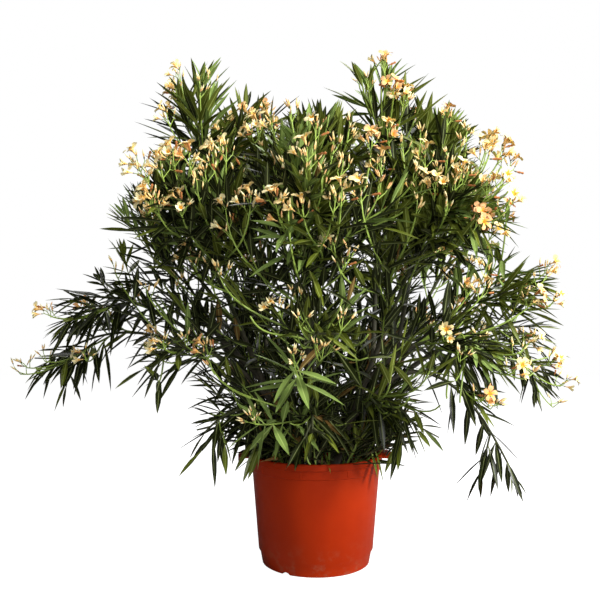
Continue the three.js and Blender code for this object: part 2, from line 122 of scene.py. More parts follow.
STEM_FOOT_RING = 52
STEM_FOOT_RADIUS = 10
STEM_TIP_RADIUS = 4.5
STEM_SHARE = 0.46
FLARE_GROWTH = 0.5
FLARE_LENGTH = 0.1
FORK_LOWEST = 0.16
FORK_STEP = 0.07
BOUGH_FOOT_RADIUS = 5.6
AXIS_TIP_RADIUS = 2.8
TWIG_RADIUS = 2
TWIG_LENGTH = 120
TIP_MARGIN = 44
TWIGS_PER_MASS = 5
GOLDEN_ANGLE = 137.5
CELL_MARGIN = 1.5
SPINE_PARTS = 4
STRETCHES = 10
LEAF_WIDEST = 0.45

DIRECTIONS = {
    "right": 0,
    "back_right": 45,
    "back": 90,
    "back_left": 135,
    "left": 180,
    "front_left": 225,
    "front": 270,
    "front_right": 315,
}
SIX_WAYS = ("front", "front_left", "front_right", "back", "back_left", "back_right")
EIGHT_WAYS = tuple(DIRECTIONS)
THREE_WAYS = ("right", "back_left", "front")

USUAL_MASS = {"sparse": 0, "wider": 0, "arch": 0, "droop": 0, "lowest": 335, "bare": 0.48, "taper": 0.6}
RINGS = (
    {"kind": "shoulder", "at": EIGHT_WAYS, "elevation": 57, "reach": 775, "wider": 25, "arch": 0.03,
     "bare": STEM_SHARE},
    {"kind": "crown", "at": THREE_WAYS, "elevation": 72, "reach": 815, "wider": 75, "bare": 0.5},
    {"kind": "flank", "at": SIX_WAYS, "elevation": 31, "reach": 570, "arch": 0.18, "droop": 0.1,
     "lowest": 300, "bare": 0.4},
    {"kind": "skirt", "at": SIX_WAYS, "elevation": 17, "reach": 355, "arch": 0.25, "droop": 0.2,
     "lowest": 200, "bare": 0},
)
OUTLIERS = {
    "tuft_left": {"origin": "left", "azimuth": 188, "elevation": 72.7, "reach": 962, "arch": -0.04},
    "tuft_right": {"origin": "front_right", "azimuth": 338, "elevation": 80, "reach": 943, "arch": -0.03},
    "arm_left_tip": {"origin": "left", "azimuth": 179, "elevation": 18.5, "reach": 725, "arch": 0.26,
                     "taper": 0.9},
    "arm_left_upper": {"origin": "left", "azimuth": 192, "elevation": 34, "reach": 712, "arch": 0.18},
    "arm_left_inner": {"origin": "front_left", "azimuth": 205, "elevation": 45.4, "reach": 653,
                       "arch": 0.06, "sparse": 0.12},
    "arm_right_upper": {"origin": "right", "azimuth": 345, "elevation": 42.6, "reach": 694, "arch": 0.08},
    "arm_right_middle": {"origin": "right", "azimuth": 357, "elevation": 31.5, "reach": 650, "arch": 0.13},
    "arm_right_tip": {"origin": "right", "azimuth": 12, "elevation": 18, "reach": 675, "arch": 0.26,
                      "taper": 0.9},
    "arm_right_drooping": {"origin": "front_right", "azimuth": 350, "elevation": -3.7, "reach": 492,
                           "arch": 0.45, "lowest": 160, "taper": 0.9, "sparse": 0.3},
}

# The place of the eye in front of the shrub, and the shoots that are seen from there: how far across and
# how high their lines of sight cross the plane of the pot's axis, and what each ends in. That is a full
# flower head, one with few flowers, one with buds alone, one on a tall bare stalk, or leaves.
EYE = (-36, -1630, 528)
FRONT_HEADS = (
    (-310, 1135, "few"), (-318, 1095, "full"), (-242, 1108, "buds"), (-338, 1040, "few"),
    (-265, 1090, "buds"), (-405, 938, "few"), (-388, 912, "few"), (-325, 950, "full"),
    (-288, 945, "full"), (-352, 925, "few"), (-378, 858, "full"), (-360, 835, "few"), (-308, 835, "full"),
    (-235, 955, "tall"), (-185, 1015, "full"), (-218, 985, "few"), (-160, 1040, "full"),
    (-112, 1050, "full"), (-55, 1035, "buds"), (0, 1010, "tall"), (-90, 855, "full"), (-62, 820, "tall"),
    (-28, 838, "few"), (-203, 818, "tall"), (-145, 1000, "few"), (-150, 848, "tall"), (128, 985, "few"),
    (165, 1000, "full"), (104, 868, "tall"), (-270, 870, "buds"), (158, 1158, "few"), (178, 1100, "full"),
    (200, 1075, "full"), (302, 1037, "few"), (120, 1110, "buds"), (390, 980, "full"), (420, 955, "full"),
    (440, 925, "few"), (273, 880, "few"), (75, 1000, "buds"), (318, 888, "few"), (365, 800, "full"),
    (398, 772, "few"), (422, 895, "few"), (345, 985, "buds"), (435, 838, "few"), (45, 845, "buds"),
    (-283, 720, "tall"), (-245, 675, "buds"), (240, 985, "buds"), (-215, 665, "buds"), (45, 740, "tall"),
    (75, 715, "buds"), (60, 920, "buds"), (-246, 500, "tall"), (-676, 458, "few"), (-526, 492, "few"),
    (-20, 920, "buds"), (-608, 594, "few"), (-620, 478, "buds"), (-459, 681, "buds"), (-384, 630, "buds"),
    (230, 905, "buds"), (524, 692, "few"), (490, 618, "full"), (536, 616, "few"), (520, 660, "buds"),
    (380, 640, "few"), (536, 480, "full"), (560, 430, "few"), (543, 370, "buds"), (445, 462, "few"),
    (350, 690, "buds"), (376, 400, "few"), (400, 372, "buds"), (480, 440, "buds"), (470, 500, "buds"),
    (395, 720, "tall"), (15, 885, "buds"), (230, 820, "buds"), (62, 560, "buds"), (330, 960, "buds"),
    (300, 830, "buds"), (-175, 1005, "few"), (-132, 1012, "full"), (-98, 1022, "few"), (-205, 960, "few"),
    (-30, 1010, "leaves"), (8, 1030, "leaves"), (32, 1020, "leaves"), (-8, 985, "leaves"),
    (60, 1000, "leaves"), (-60, 990, "leaves"), (250, 1020, "leaves"), (225, 1040, "leaves"),
    (290, 985, "leaves"), (350, 930, "leaves"), (430, 900, "leaves"), (445, 865, "leaves"),
    (-300, 900, "leaves"), (-120, 900, "leaves"), (330, 480, "buds"), (60, 640, "leaves"),
    (-150, 600, "leaves"), (120, 560, "leaves"), (239, 878, "few"), (300, 928, "buds"), (332, 915, "few"),
    (385, 949, "few"), (145, 867, "buds"), (312, 658, "few"), (353, 649, "few"), (150, 930, "few"),
    (200, 960, "buds"), (60, 870, "few"), (-20, 960, "few"), (40, 960, "buds"), (395, 880, "few"),
    (250, 945, "few"), (-250, 905, "few"), (-165, 1020, "leaves"), (-110, 1034, "leaves"),
    (-60, 1064, "leaves"), (-15, 1062, "leaves"), (30, 1058, "leaves"), (105, 1135, "leaves"),
    (150, 1120, "leaves"), (210, 1098, "leaves"), (195, 500, "leaves"), (260, 470, "leaves"),
    (320, 450, "leaves"), (215, 410, "leaves"), (285, 390, "leaves"), (170, 440, "leaves"),
    (345, 520, "leaves"), (-640, 470, "leaves"), (-660, 462, "buds"), (-590, 590, "leaves"),
    (425, 940, "leaves"), (446, 890, "leaves"), (400, 975, "leaves"), (436, 810, "leaves"),
    (500, 640, "leaves"), (530, 500, "leaves"), (300, 410, "leaves"), (330, 400, "leaves"),
)

# The bright sprays low at the front: where each ends, which way it points, and how far it comes. Other
# leaves keep clear of the lines of sight to them.
LOW_SPRAYS = (
    ((-45, -415, 463), (-0.1, -0.85, 0.45), 190),
    ((-124, -238, 342), (-0.7, -0.7, 0.2), 170),
)
SPRAY_CLEARANCE = 72

# How much of a flowering shoot is its bare stalk, and how long the shoot is with it, in millimetres.
STALKS = {"full": (45, 175), "few": (45, 165), "buds": (55, 160), "tall": (125, 235), "leaves": (0, 150)}
SPRAY_STALK = 10

# How many rays each kind of flower head has, and what they bear, dealt out to them in turn.
A_FEW = ("open", "bud", "bud", "cupped", "bud", "bud", "spent", "bud", "bud")
HEADS = {
    "full": (5, ("open", "cupped", "bud", "open", "bud", "open", "bud", "bud", "spent", "bud", "spent",
                 "bud", "bud")),
    "few": (4, A_FEW),
    "tall": (4, A_FEW),
    "buds": (3, ("bud",) * 7),
    "spray": (5, ("bud",) * 14),
}

# The forms of a flower head, each from least to greatest: the length of its rays, their lean in degrees,
# the length of a flower's own stalk, and a flower's size as a share of its template.
RAY_LENGTHS = (10, 21)
RAY_LEAN = (26, 48)
OWN_STALK_LENGTHS = (3, 9)
FLOWER_SIZES = (0.76, 0.96)
SMALL_BUD = 0.72
SMALL_BUD_SHARE = 0.4

# How far each kind of flower leans from its ray at least, in degrees, and how much further it may.
FLOWER_LEAN = {"open": 34, "cupped": 24, "bud": 20, "spent": 60}
FLOWER_LEAN_RANGE = 24

# How far a flower reaches along its stalk, and the space kept clear at the low and high sides of the box.
FLOWER_LENGTH = 22
CLEAR_OF_LOW = 17
CLEAR_OF_HIGH = 12

# The tints of the heads, one of them drawn for each, and the share of flowers that are a tint further on.
TINTS = (0, 0, 1, 0, 1, 2)
NEXT_TINT_SHARE = 0.14

# The radii of stalks, and then of shoots, at their foot and their tip.
HEAD_STALK_RADII = (1.7, 1.2)
TALL_STALK_RADII = (2.5, 1.2)
RAY_RADII = (1.0, 0.75)
OWN_STALK_RADII = (0.65, 0.6)
TWIG_RADII = (2.4, 1.6)
FINER_RADII = (1.8, 1.2)
INNER_RADII = (1.9, 1.3)
FLOWERING_RADII = (2.2, 1.6)

# How far shoots, and then their leaves, may reach into a neighbouring mass's space. Those low inside the
# shrub and the two low sprays may grow anywhere.
TWIG_CROSSING = 30
FINER_CROSSING = 40
LEAF_CROSSING = 45
HEAD_CROSSING = 90
ANYWHERE = 400

INNER_SHOOTS = 9
SUCKERS = 46

# What hangs in front of the pot keeps this far from the middle of its front and from its lugs' middle line.
POT_FRONT_CLEAR = 95
LUG_CLEAR = 62

# How each kind of mass grows: how far its side twigs and finer shoots turn up by their end, as shares of
# their length; how many finer shoots stand on its stem and on each side twig, and how long they are; how
# far its leaves hang; and what share of them has fallen.
HABITS = {
    "shoulder": {"twig_rise": 0.35, "rise": 0.8, "on_stem": 11, "on_twig": 2, "length": (95, 175),
                 "hang": 0.04, "lost": 0.2},
    "crown": {"twig_rise": 0.25, "rise": 0.5, "on_stem": 13, "on_twig": 2, "length": (95, 170),
              "hang": 0.02, "lost": 0.14},
    "flank": {"twig_rise": 0.25, "rise": 0.6, "on_stem": 10, "on_twig": 1, "length": (85, 150),
              "hang": 0.1, "lost": 0.3},
    "skirt": {"twig_rise": 0.2, "rise": 0.45, "on_stem": 7, "on_twig": 1, "length": (80, 130),
              "hang": 0.3, "lost": 0.28},
    "tuft": {"twig_rise": 0.3, "rise": 0.5, "on_stem": 1, "on_twig": 0, "length": (90, 150),
             "hang": 0.0, "lost": 0.42},
    "arm": {"twig_rise": 0.12, "rise": 0.25, "on_stem": 4, "on_twig": 0, "length": (70, 120),
            "hang": 0.28, "lost": 0.22},
}

UP = np.array((0.0, 0.0, 1.0))
ACROSS = np.array((1.0, 0.0, 0.0))
SOIL_CENTRE = np.array((0.0, 0.0, float(SOIL_TOP)))


# ---- Small helpers ----


def lerp(a, b, share):
    return a + (b - a) * share


def clamped(share):
    return min(max(share, 0), 1)


def unit(vectors):
    return vectors / np.linalg.norm(vectors, axis=-1, keepdims=True)


def dice(seed):
    """A repeatable random number generator, so that each mass always grows the same way."""
    state = (seed * 7919 + 104729) & 0xFFFFFFFF

    def roll():
        nonlocal state
        state = (state * 1664525 + 1013904223) & 0xFFFFFFFF
        return state / 4294967296

    roll()
    roll()
    return roll


def point_at(azimuth, elevation, distance):
    level = math.cos(math.radians(elevation)) * distance
    across = math.cos(math.radians(azimuth)) * level
    deep = math.sin(math.radians(azimuth)) * level
    return np.array((across, deep, SOIL_TOP + math.sin(math.radians(elevation)) * distance))


def sideways(tangents):
    """Two directions at right angles to each tangent, by the same rule everywhere."""
    reference = np.where(np.abs(tangents[..., 2:3]) < 0.95, UP, ACROSS)
    first = unit(np.cross(tangents, reference))
    return first, np.cross(tangents, first)


def leaving(tangents, angle, pitch, droop):
    """The directions that leave tangents at a pitch, turned about them by an angle and pulled down."""
    first, second = sideways(tangents)
    angle = np.radians(np.asarray(angle, float))[..., None]
    pitch = np.radians(np.asarray(pitch, float))[..., None]
    radial = first * np.cos(angle) + second * np.sin(angle)
    fall = UP * np.asarray(droop, float)[..., None]
    return unit(tangents * np.cos(pitch) + radial * np.sin(pitch) - fall)


def distances(points, lines):
    """How far each point is from each straight line, as a table of points by lines."""
    start = lines[:, 0]
    along = lines[:, 1] - start
    away = points[:, None] - start
    share = np.clip((away * along).sum(2) / (along**2).sum(1), 0, 1)
    return np.linalg.norm(away - share[..., None] * along, axis=2)


# ---- The plan of the shrub: its masses, their limbs and the room that each has ----


class Mass:
    """A mass of foliage with the limb that feeds it."""

    def __init__(self, index, plan):
        vars(self).update(plan)
        self.index = index
        self.seed = index + 11
        self.outward = point_at(self.azimuth, self.elevation, 1) - SOIL_CENTRE
        self.habit = HABITS[self.kind]

    def arch_from(self, start):
        self.start = start
        self.tip = point_at(self.azimuth, self.elevation, self.reach - TIP_MARGIN)
        lift = self.arch * 2 * np.linalg.norm(start - self.tip)
        self.middle = (start + self.tip) / 2 + UP * lift

    def point(self, t):
        t = np.asarray(t, float)[..., None]
        return (1 - t) ** 2 * self.start + 2 * (1 - t) * t * self.middle + t**2 * self.tip

    def tangent(self, t):
        t = np.asarray(t, float)[..., None]
        return unit((1 - t) * (self.middle - self.start) + t * (self.tip - self.middle))

    def spine(self):
        points = self.point(np.linspace(max(self.bare, 0.2), 1, SPINE_PARTS + 1))
        points = np.vstack((points, points[-1] + self.tangent(1) * TIP_MARGIN))
        return np.stack((points[:-1], points[1:]), axis=1)

    def limb_radius(self, t):
        if self.kind != "shoulder":
            return lerp(BOUGH_FOOT_RADIUS, AXIS_TIP_RADIUS, t)
        if t <= STEM_SHARE:
            return stem_radius(t)
        return lerp(STEM_TIP_RADIUS, AXIS_TIP_RADIUS, (t - STEM_SHARE) / (1 - STEM_SHARE))


def stem_radius(t):
    flare = 1 + FLARE_GROWTH * max(0, 1 - t / FLARE_LENGTH) ** 2
    return lerp(STEM_FOOT_RADIUS, STEM_TIP_RADIUS, t / STEM_SHARE) * flare


def planned_masses():
    roll = dice(1)
    plans = []
    for ring in RINGS:
        for direction in ring["at"]:
            towards_side = abs(math.cos(math.radians(DIRECTIONS[direction])))
            plan = {**USUAL_MASS, **ring}
            plan["origin"] = direction
            plan["azimuth"] = DIRECTIONS[direction] + (roll() - 0.5) * 14
            plan["elevation"] += (roll() - 0.5) * 5
            plan["reach"] += plan["wider"] * towards_side + (roll() - 0.5) * 40
            plans.append(plan)
    for name, plan in OUTLIERS.items():
        plans.append({**USUAL_MASS, "kind": name.split("_")[0], **plan})
    masses = [Mass(index, plan) for index, plan in enumerate(plans)]
    for stem in masses:
        if stem.kind != "shoulder":
            continue
        stem.arch_from(point_at(stem.azimuth, 0, STEM_FOOT_RING) - UP * STEM_FOOT_RADIUS)
        fed = [mass for mass in masses if mass.origin == stem.origin and mass is not stem]
        fed.sort(key=lambda mass: mass.elevation)
        for i, mass in enumerate(fed):
            mass.arch_from(stem.point(FORK_LOWEST + i * FORK_STEP))
    return masses


class Room:
    """Which points each mass may grow through."""

    def __init__(self, masses):
        self.masses = masses
        self.spines = np.concatenate([mass.spine() for mass in masses])
        ends = np.linspace(0, 1, STRETCHES + 1)
        points = [mass.point(ends) for mass in masses]
        self.stretches = np.concatenate([np.stack((p[:-1], p[1:]), axis=1) for p in points])
        self.radii = np.array([mass.limb_radius(t) for mass in masses for t in ends[:-1]])
        self.owners = np.repeat(np.arange(len(masses)), STRETCHES)
        self.starts = np.tile(ends[1:], len(masses))
        self.outwards = np.array([mass.outward for mass in masses])
        self.openings = np.array([(EYE, tip) for tip, _, _ in LOW_SPRAYS], float)
        self.limits = np.array([(mass.reach, mass.taper, mass.lowest) for mass in masses], float)
        self.low = np.array(CAD_BOX[0]) / MM + 1
        self.high = np.array(CAD_BOX[1]) / MM - 1

    def is_free(self, mass, points, room, crossing=0, hanging=False, short_of=0, lowest=None):
        """Whether each point may be grown through, with room for its width. Crossing is how far it may
        reach into a neighbour's space, hanging lets it down in front of the pot, short_of keeps it that far
        inside the reach, and lowest stands for the height that a mass stays above."""
        to_spines = distances(points, self.spines).reshape(len(points), len(self.masses), -1).min(2)
        nearest = to_spines.argmin(1)
        reach, taper, usual_lowest = self.limits[nearest].T
        along = ((points - SOIL_CENTRE) * self.outwards[nearest]).sum(1)
        inside = along + taper * to_spines.min(1) < reach - short_of
        inside &= points[:, 2] > (usual_lowest if lowest is None else lowest)
        own = to_spines[:, mass.index].copy()
        to_spines[:, mass.index] = np.inf
        free = inside & (to_spines.min(1) - own >= 2 * (CELL_MARGIN + room - crossing))
        level = np.hypot(points[:, 0], points[:, 1])
        beyond_lugs = level > LUG_RADIUS + 8
        if hanging:
            beside_pot = (np.abs(points[:, 0]) > POT_FRONT_CLEAR) | (points[:, 2] > POT_HEIGHT + 22)
            beyond_lugs &= beside_pot | (points[:, 1] > 0)
            clear_of_lugs = np.abs(points[:, 1]) > LUG_CLEAR
            beyond_lugs |= (level > POT_LIP_RADIUS + 5) & clear_of_lugs & beside_pot
        free &= (points[:, 2] > POT_HEIGHT + 8) | beyond_lugs
        own_stem = (self.owners == mass.index) & (self.starts > mass.bare)
        clear = distances(points, self.stretches) > self.radii + np.reshape(room, (-1, 1)) + 2
        free &= (clear | own_stem).all(1)
        return free & (points > self.low).all(1) & (points < self.high).all(1)

    def fits(self, mass, root, direction, length, half_width):
        """Whether a straight piece may grow there, as the source asks it."""
        shares = np.arange(1, 6) / 5
        points = root + direction * (shares * length)[:, None]
        widths = half_width * np.clip(1 - np.abs(shares - LEAF_WIDEST) / 0.6, 0, None)
        return self.is_free(mass, points, widths).all()


# ---- Shoots ----


class Shoot:
    """A stretch of stem from its root to its tip, which bears leaves and may end in a flower head. Its rank
    is 0 for a mass's own stem, 1 for a side twig and 2 for what grows on from them."""

    def __init__(self, mass, points, radii, rank, crossing=LEAF_CROSSING):
        self.mass = mass
        self.points = points
        self.radii = radii
        self.rank = rank
        self.crossing = crossing
        self.head = None
        self.tone = None
        self.measure()

    @property
    def roams(self):
        """Whether it may grow anywhere, without regard to the masses' own spaces."""
        return self.crossing == ANYWHERE

    def measure(self):
        steps = np.linalg.norm(np.diff(self.points, axis=0), axis=1)
        self.lengths = np.concatenate(((0,), np.cumsum(steps)))
        self.length = self.lengths[-1]

    def at(self, distance):
        """The points at distances from the root, and the directions of the shoot there."""
        place = np.stack([np.interp(distance, self.lengths, self.points[:, i]) for i in range(3)], -1)
        before = np.clip(np.asarray(distance) - 4, 0, None)
        after = np.clip(np.asarray(distance) + 4, None, self.length)
        ends = [np.stack([np.interp(d, self.lengths, self.points[:, i]) for i in range(3)], -1)
                for d in (before, after)]
        return place, unit(ends[1] - ends[0])

    def cut_back(self, shortening):
        """Takes a length off the shoot's end."""
        kept = max(self.length - shortening, self.length * 0.25)
        shares = np.linspace(0, kept, len(self.points))
        self.points = self.at(shares)[0]
        self.measure()

    def flower(self, head):
        """Makes the shoot's end the bare stalk of a flower head."""
        self.head = head
        if head == "leaves":
            return
        bare = SPRAY_STALK if head == "spray" else STALKS[head][0]
        stalk = min(bare, self.length * 0.6)
        self.stalk = self.at(np.linspace(self.length - stalk, self.length, 6))[0]
        self.cut_back(stalk)


def bowed(root, direction, length, rise, parts):
    """Points along a shoot that turns up by its end, by a share of its length."""
    shares = np.linspace(0, 1, parts + 1)[:, None]
    length = length / (1 + 0.3 * rise)
    return root + direction * (shares * length) + UP * (rise * length * shares**2)


def longest_that_fits(room, mass, root, direction, length, rise, crossing, lowest=None):
    """The points of the longest of a few shoots that fits, or None."""
    for share in (1, 0.8, 0.62, 0.46):
        points = bowed(root, direction, length * share, rise, 6)
        if room.is_free(mass, points[2:], TWIG_RADIUS, crossing, short_of=TIP_MARGIN, lowest=lowest).all():
            return points
    return None


def main_twigs(room, mass):
    """The side twigs that the source grows, with the same draws, turned up a little by their end."""
    roll = dice(mass.seed)
    twigs = []
    for i in range(TWIGS_PER_MASS):
        t = lerp(mass.bare, 1, 0.16 + 0.7 * (i / (TWIGS_PER_MASS - 1)))
        turn = i * GOLDEN_ANGLE + roll() * 50
        direction = leaving(mass.tangent(t), turn, 40 + 14 * roll(), mass.droop * 0.25)
        full = TWIG_LENGTH * (1.2 - 0.5 * (i / TWIGS_PER_MASS)) * (0.8 + 0.4 * roll())
        root = mass.point(t)
        if mass.sparse and i % 3:
            continue
        for share in (1, 0.7, 0.45):
            length = full * share
            if room.fits(mass, root, direction, length, TWIG_RADIUS):
                rise = mass.habit["twig_rise"]
                points = longest_that_fits(room, mass, root, direction, length, rise, TWIG_CROSSING)
                if points is None:
                    points = bowed(root, direction, length, 0, 5)
                twigs.append(Shoot(mass, points, TWIG_RADII, 1))
                break
    return twigs


def finer_shoots(room, mass, parents, settings):
    """Finer shoots that grow on from a mass's own stem and its side twigs, turned by the golden angle."""
    roll = dice(mass.seed + 900)
    habit = mass.habit
    shoots = []
    if mass.sparse:
        return shoots
    for parent in parents:
        count = round(habit["on_twig" if parent.rank else "on_stem"] * settings.density)
        for i in range(count):
            share = lerp(0.08, 0.84, (i + roll()) / count)
            root, tangent = parent.at(parent.length * share)
            turn = i * GOLDEN_ANGLE + parent.rank * 70 + roll() * 60
            direction = leaving(tangent, turn, 32 + 24 * roll(), mass.droop * 0.2)
            length = lerp(*habit["length"], roll()) * (1.15 - 0.3 * share)
            rise = habit["rise"] * lerp(0.7, 1.3, roll())
            points = longest_that_fits(room, mass, root, direction, length, rise, FINER_CROSSING)
            if points is not None:
                shoots.append(Shoot(mass, points, FINER_RADII, 2))
    return shoots


def inner_shoots(room, mass):
    """Leafy shoots low on a stem, in the shade inside the shrub."""
    roll = dice(mass.seed + 1300)
    shoots = []
    for i in range(INNER_SHOOTS):
        t = lerp(0.08, 0.44, (i + roll()) / INNER_SHOOTS)
        direction = leaving(mass.tangent(t), i * GOLDEN_ANGLE + roll() * 60, 38 + 26 * roll(), 0)
        length = lerp(85, 150, roll())
        root = mass.point(t)
        points = longest_that_fits(room, mass, root, direction, length, 0.3, ANYWHERE, POT_HEIGHT)
        if points is not None:
            shoots.append(Shoot(mass, points, INNER_RADII, 2, ANYWHERE))
    return shoots


def suckers(masses):
    """Short leafy shoots that come up from the soil all round, and fill the pot's mouth."""
    roll = dice(404)
    skirts = [mass for mass in masses if mass.kind == "skirt"]
    shoots = []
    for i in range(SUCKERS):
        azimuth = i * GOLDEN_ANGLE
        root = point_at(azimuth, 0, lerp(62, 118, roll())) - UP * 4
        outward = point_at(azimuth + 40 * (roll() - 0.5), 0, 1) - SOIL_CENTRE
        direction = unit(outward * lerp(0.4, 0.9, roll()) + UP * 0.8)
        points = bowed(root, direction, lerp(75, 135, roll()), 0.15, 6)
        mass = min(skirts, key=lambda skirt: degrees_apart(skirt.azimuth, azimuth))
        shoots.append(Shoot(mass, points, INNER_RADII, 2, ANYWHERE))
    return shoots


def own_stem(mass):
    """The leafy end of the stem or bough that feeds a mass."""
    t = np.linspace(0.3 if mass.kind == "arm" else mass.bare, 1, 12)
    radii = (mass.limb_radius(t[0]), AXIS_TIP_RADIUS - 0.9)
    stem = Shoot(mass, mass.point(t), radii, 0)
    stem.cut_back(24)
    return stem


# ---- Flower heads ----


def bent(start, second, third, end, count):
    """Points along a curve that leaves its start towards the second point and comes in from the third."""
    s = np.linspace(0, 1, count)[:, None]
    first_half = (1 - s) ** 3 * start + 3 * (1 - s) ** 2 * s * second
    return first_half + 3 * (1 - s) * s**2 * third + s**3 * end


def off_sight(points, sight):
    """How far points are from a line of sight through the eye."""
    away = points - np.array(EYE, float)
    return np.linalg.norm(away - (away @ sight)[:, None] * sight, axis=1)


class Limbs:
    """The places that a new shoot may grow on from: all along the leafy stems and side twigs."""

    def __init__(self, room, shoots):
        self.room = room
        self.masses = []
        places, headings = [], []
        for shoot in shoots:
            if shoot.rank < 2 and not shoot.mass.sparse:
                at, along = shoot.at(np.arange(0.0, shoot.length, 15))
                self.masses += [shoot.mass] * len(at)
                places.append(at)
                headings.append(along)
        self.places, self.headings = np.concatenate(places), np.concatenate(headings)

    def shoot_to(self, aim, length, ending, head):
        """A shoot about so long that ends at a point, from the limb that suits it best of those it can come
        from within the shrub's reach. It ends in a direction, or turned up by a share. None where there is
        no such limb."""
        away = aim - self.places
        far = np.linalg.norm(away, axis=1)
        towards = away / far[:, None]
        turning = 1 - (towards * self.headings).sum(1)
        outward = (towards * unit(aim - SOIL_CENTRE)).sum(1)
        cost = np.abs(far - length) + np.clip(far - 1.15 * length, 0, None) * 2
        cost += 150 * turning
        cost += 150 * np.clip(0.6 - outward, 0, None)
        cost += 90 * np.clip(0.3 - towards[:, 2], 0, None)
        for best in np.argsort(cost)[:300:10]:
            mass, start, reach = self.masses[best], self.places[best], far[best]
            if np.isscalar(ending):
                finish = unit(towards[best] * 0.7 + UP * ending)
            else:
                finish = unit(np.array(ending))
            second = start + unit(self.headings[best] + towards[best]) * reach * 0.3
            third = aim - finish * reach * 0.35
            points = bent(start, second, third, aim, 12)
            way_is_free = self.room.is_free(mass, points[2:8], TWIG_RADIUS, ANYWHERE, hanging=True)
            if way_is_free.mean() > 0.8:
                crossing = ANYWHERE if head == "spray" else HEAD_CROSSING
                shoot = Shoot(mass, points, FLOWERING_RADII, 2, crossing)
                shoot.flower(head)
                return shoot
        return None


def front_shoots(room, shoots):
    """The shoots seen from the front, each grown on from the limb that suits it."""
    eye = np.array(EYE, float)
    tips = np.array([shoot.points[-1] for shoot in shoots if shoot.rank])
    limbs = Limbs(room, shoots)
    aimed = []
    for across, height, head in FRONT_HEADS:
        sight = unit(np.array((across, 0, height)) - eye)
        aside = off_sight(tips, sight)
        near = aside < 80
        depth = np.percentile(tips[near, 1], 10) - 60 if near.any() else tips[np.argmin(aside), 1]
        aim = eye + sight * (depth - eye[1]) / sight[1]
        aim = np.clip(aim - UP * (22 if head == "buds" else 32), room.low + 40, room.high - 34)
        on_arm = height < 720 and abs(across - EYE[0]) > 330
        upright = 0.35 if on_arm else 0.8
        if head == "tall":
            upright = 2.2
        aimed.append(limbs.shoot_to(aim, STALKS[head][1], upright, head))
    for aim, ending, length in LOW_SPRAYS:
        aimed.append(limbs.shoot_to(np.array(aim, float), length, ending, "spray"))
    return [shoot for shoot in aimed if shoot]


def other_heads(shoots, settings):
    """Flower heads on the outer shoots all round: mostly buds at the front, where the others are given."""
    roll = dice(77)
    for shoot in shoots:
        tip = shoot.points[-1]
        level = np.linalg.norm(tip - SOIL_CENTRE)
        draw, kind = roll(), roll()
        if not shoot.rank or level < 0.66 * shoot.mass.reach or tip[2] < 480 or shoot.roams:
            continue
        if draw >= settings.flowering_share or shoot.length <= 60:
            continue
        at_back = tip[1] > -40
        if at_back:
            shoot.flower(("full", "few", "few", "buds")[int(kind * 4)])
        else:
            shoot.flower("buds" if kind < 0.75 else "few")


class Cymes:
    """The stalks, flowers and buds of all the flower heads."""

    def __init__(self, room):
        self.room = room
        self.stalks = []
        self.items = {"open": [], "cupped": [], "bud": [], "spent": []}

    def add(self, shoot, roll):
        rays, kinds = HEADS[shoot.head]
        tint = TINTS[int(roll() * len(TINTS))]
        curve = shoot.stalk
        self.stalks.append((curve, TALL_STALK_RADII if shoot.head == "tall" else HEAD_STALK_RADII))
        heading = unit(unit(curve[-1] - curve[-2]) * 0.6 + UP * 0.7)
        outward = unit((curve[-1] - SOIL_CENTRE) * (1, 1, 0))
        ends = []
        for i in range(rays):
            turn = i * GOLDEN_ANGLE + roll() * 40
            ray = leaving(heading, turn, 0 if i == 0 else lerp(*RAY_LEAN, roll()), 0)
            start = curve[-1] + (curve[-2] - curve[-1]) * (0 if i == 0 else 1.5 * roll())
            end = start + ray * lerp(*RAY_LENGTHS, roll())
            self.stalks.append((np.array((start, end)), RAY_RADII))
            ends.append((end, ray))
        for i, kind in enumerate(kinds):
            end, ray = ends[i % rays]
            turn = i * GOLDEN_ANGLE + roll() * 50
            stalk = leaving(ray, turn, FLOWER_LEAN[kind] + FLOWER_LEAN_RANGE * roll(), -0.2)
            place = end + stalk * lerp(*OWN_STALK_LENGTHS, roll())
            if kind != "bud":
                stalk = unit(stalk + outward * lerp(0.5, 1.3, roll()))
            size = lerp(*FLOWER_SIZES, roll())
            if kind == "bud" and roll() < SMALL_BUD_SHARE:
                size *= SMALL_BUD
            outermost = place + stalk * FLOWER_LENGTH
            if ((outermost < self.room.low + CLEAR_OF_LOW).any()
                    or (outermost > self.room.high - CLEAR_OF_HIGH).any()):
                continue
            self.stalks.append((np.array((end, place)), OWN_STALK_RADII))
            turn, own_tint = roll() * 72, (tint + (roll() < NEXT_TINT_SHARE)) % 3
            self.items[kind].append((place, stalk, size, turn, own_tint))


# ---- Leaves ----


# The leaf greens. The full green is painted light and the dark one is partly painted shade, both dealt by
# where light falls; the young green is the leaves' own, dealt partly by the same light, and the faded green
# is their own.
TONES = ("mature", "full", "young", "faded")

# Where each value stands in a leaf's row, after its root and its direction.
LENGTH, SAG, TURN, TWIST, TONE, CROSSING, IN_SPRAY = range(6, 13)


def whorl_places(shoot, settings):
    """How far from the tip each whorl stands: close together at the tip, then evenly spaced."""
    spacing = settings.whorl_spacing / MM
    leafy = shoot.length * 0.94 if shoot.rank == 0 else min(settings.leafy_length / MM, shoot.length - 8)
    places = []
    at = 2.0
    step = spacing * 0.5
    while at < leafy:
        places.append(at)
        step = min(step * 1.25, spacing * (1.5 if at > 140 else 1))
        at += step
    return places


def whorl_opening(shoot, k):
    """How much wider than usual the whorl opens, and how wide a leaf may stand at most, in degrees."""
    if shoot.head == "spray":
        return 46, 76
    opening = 12 if shoot.head and k < 2 else 0
    if shoot.head == "leaves":
        opening = 4
    if shoot.mass.kind == "tuft":
        opening += 9
    return opening, 56


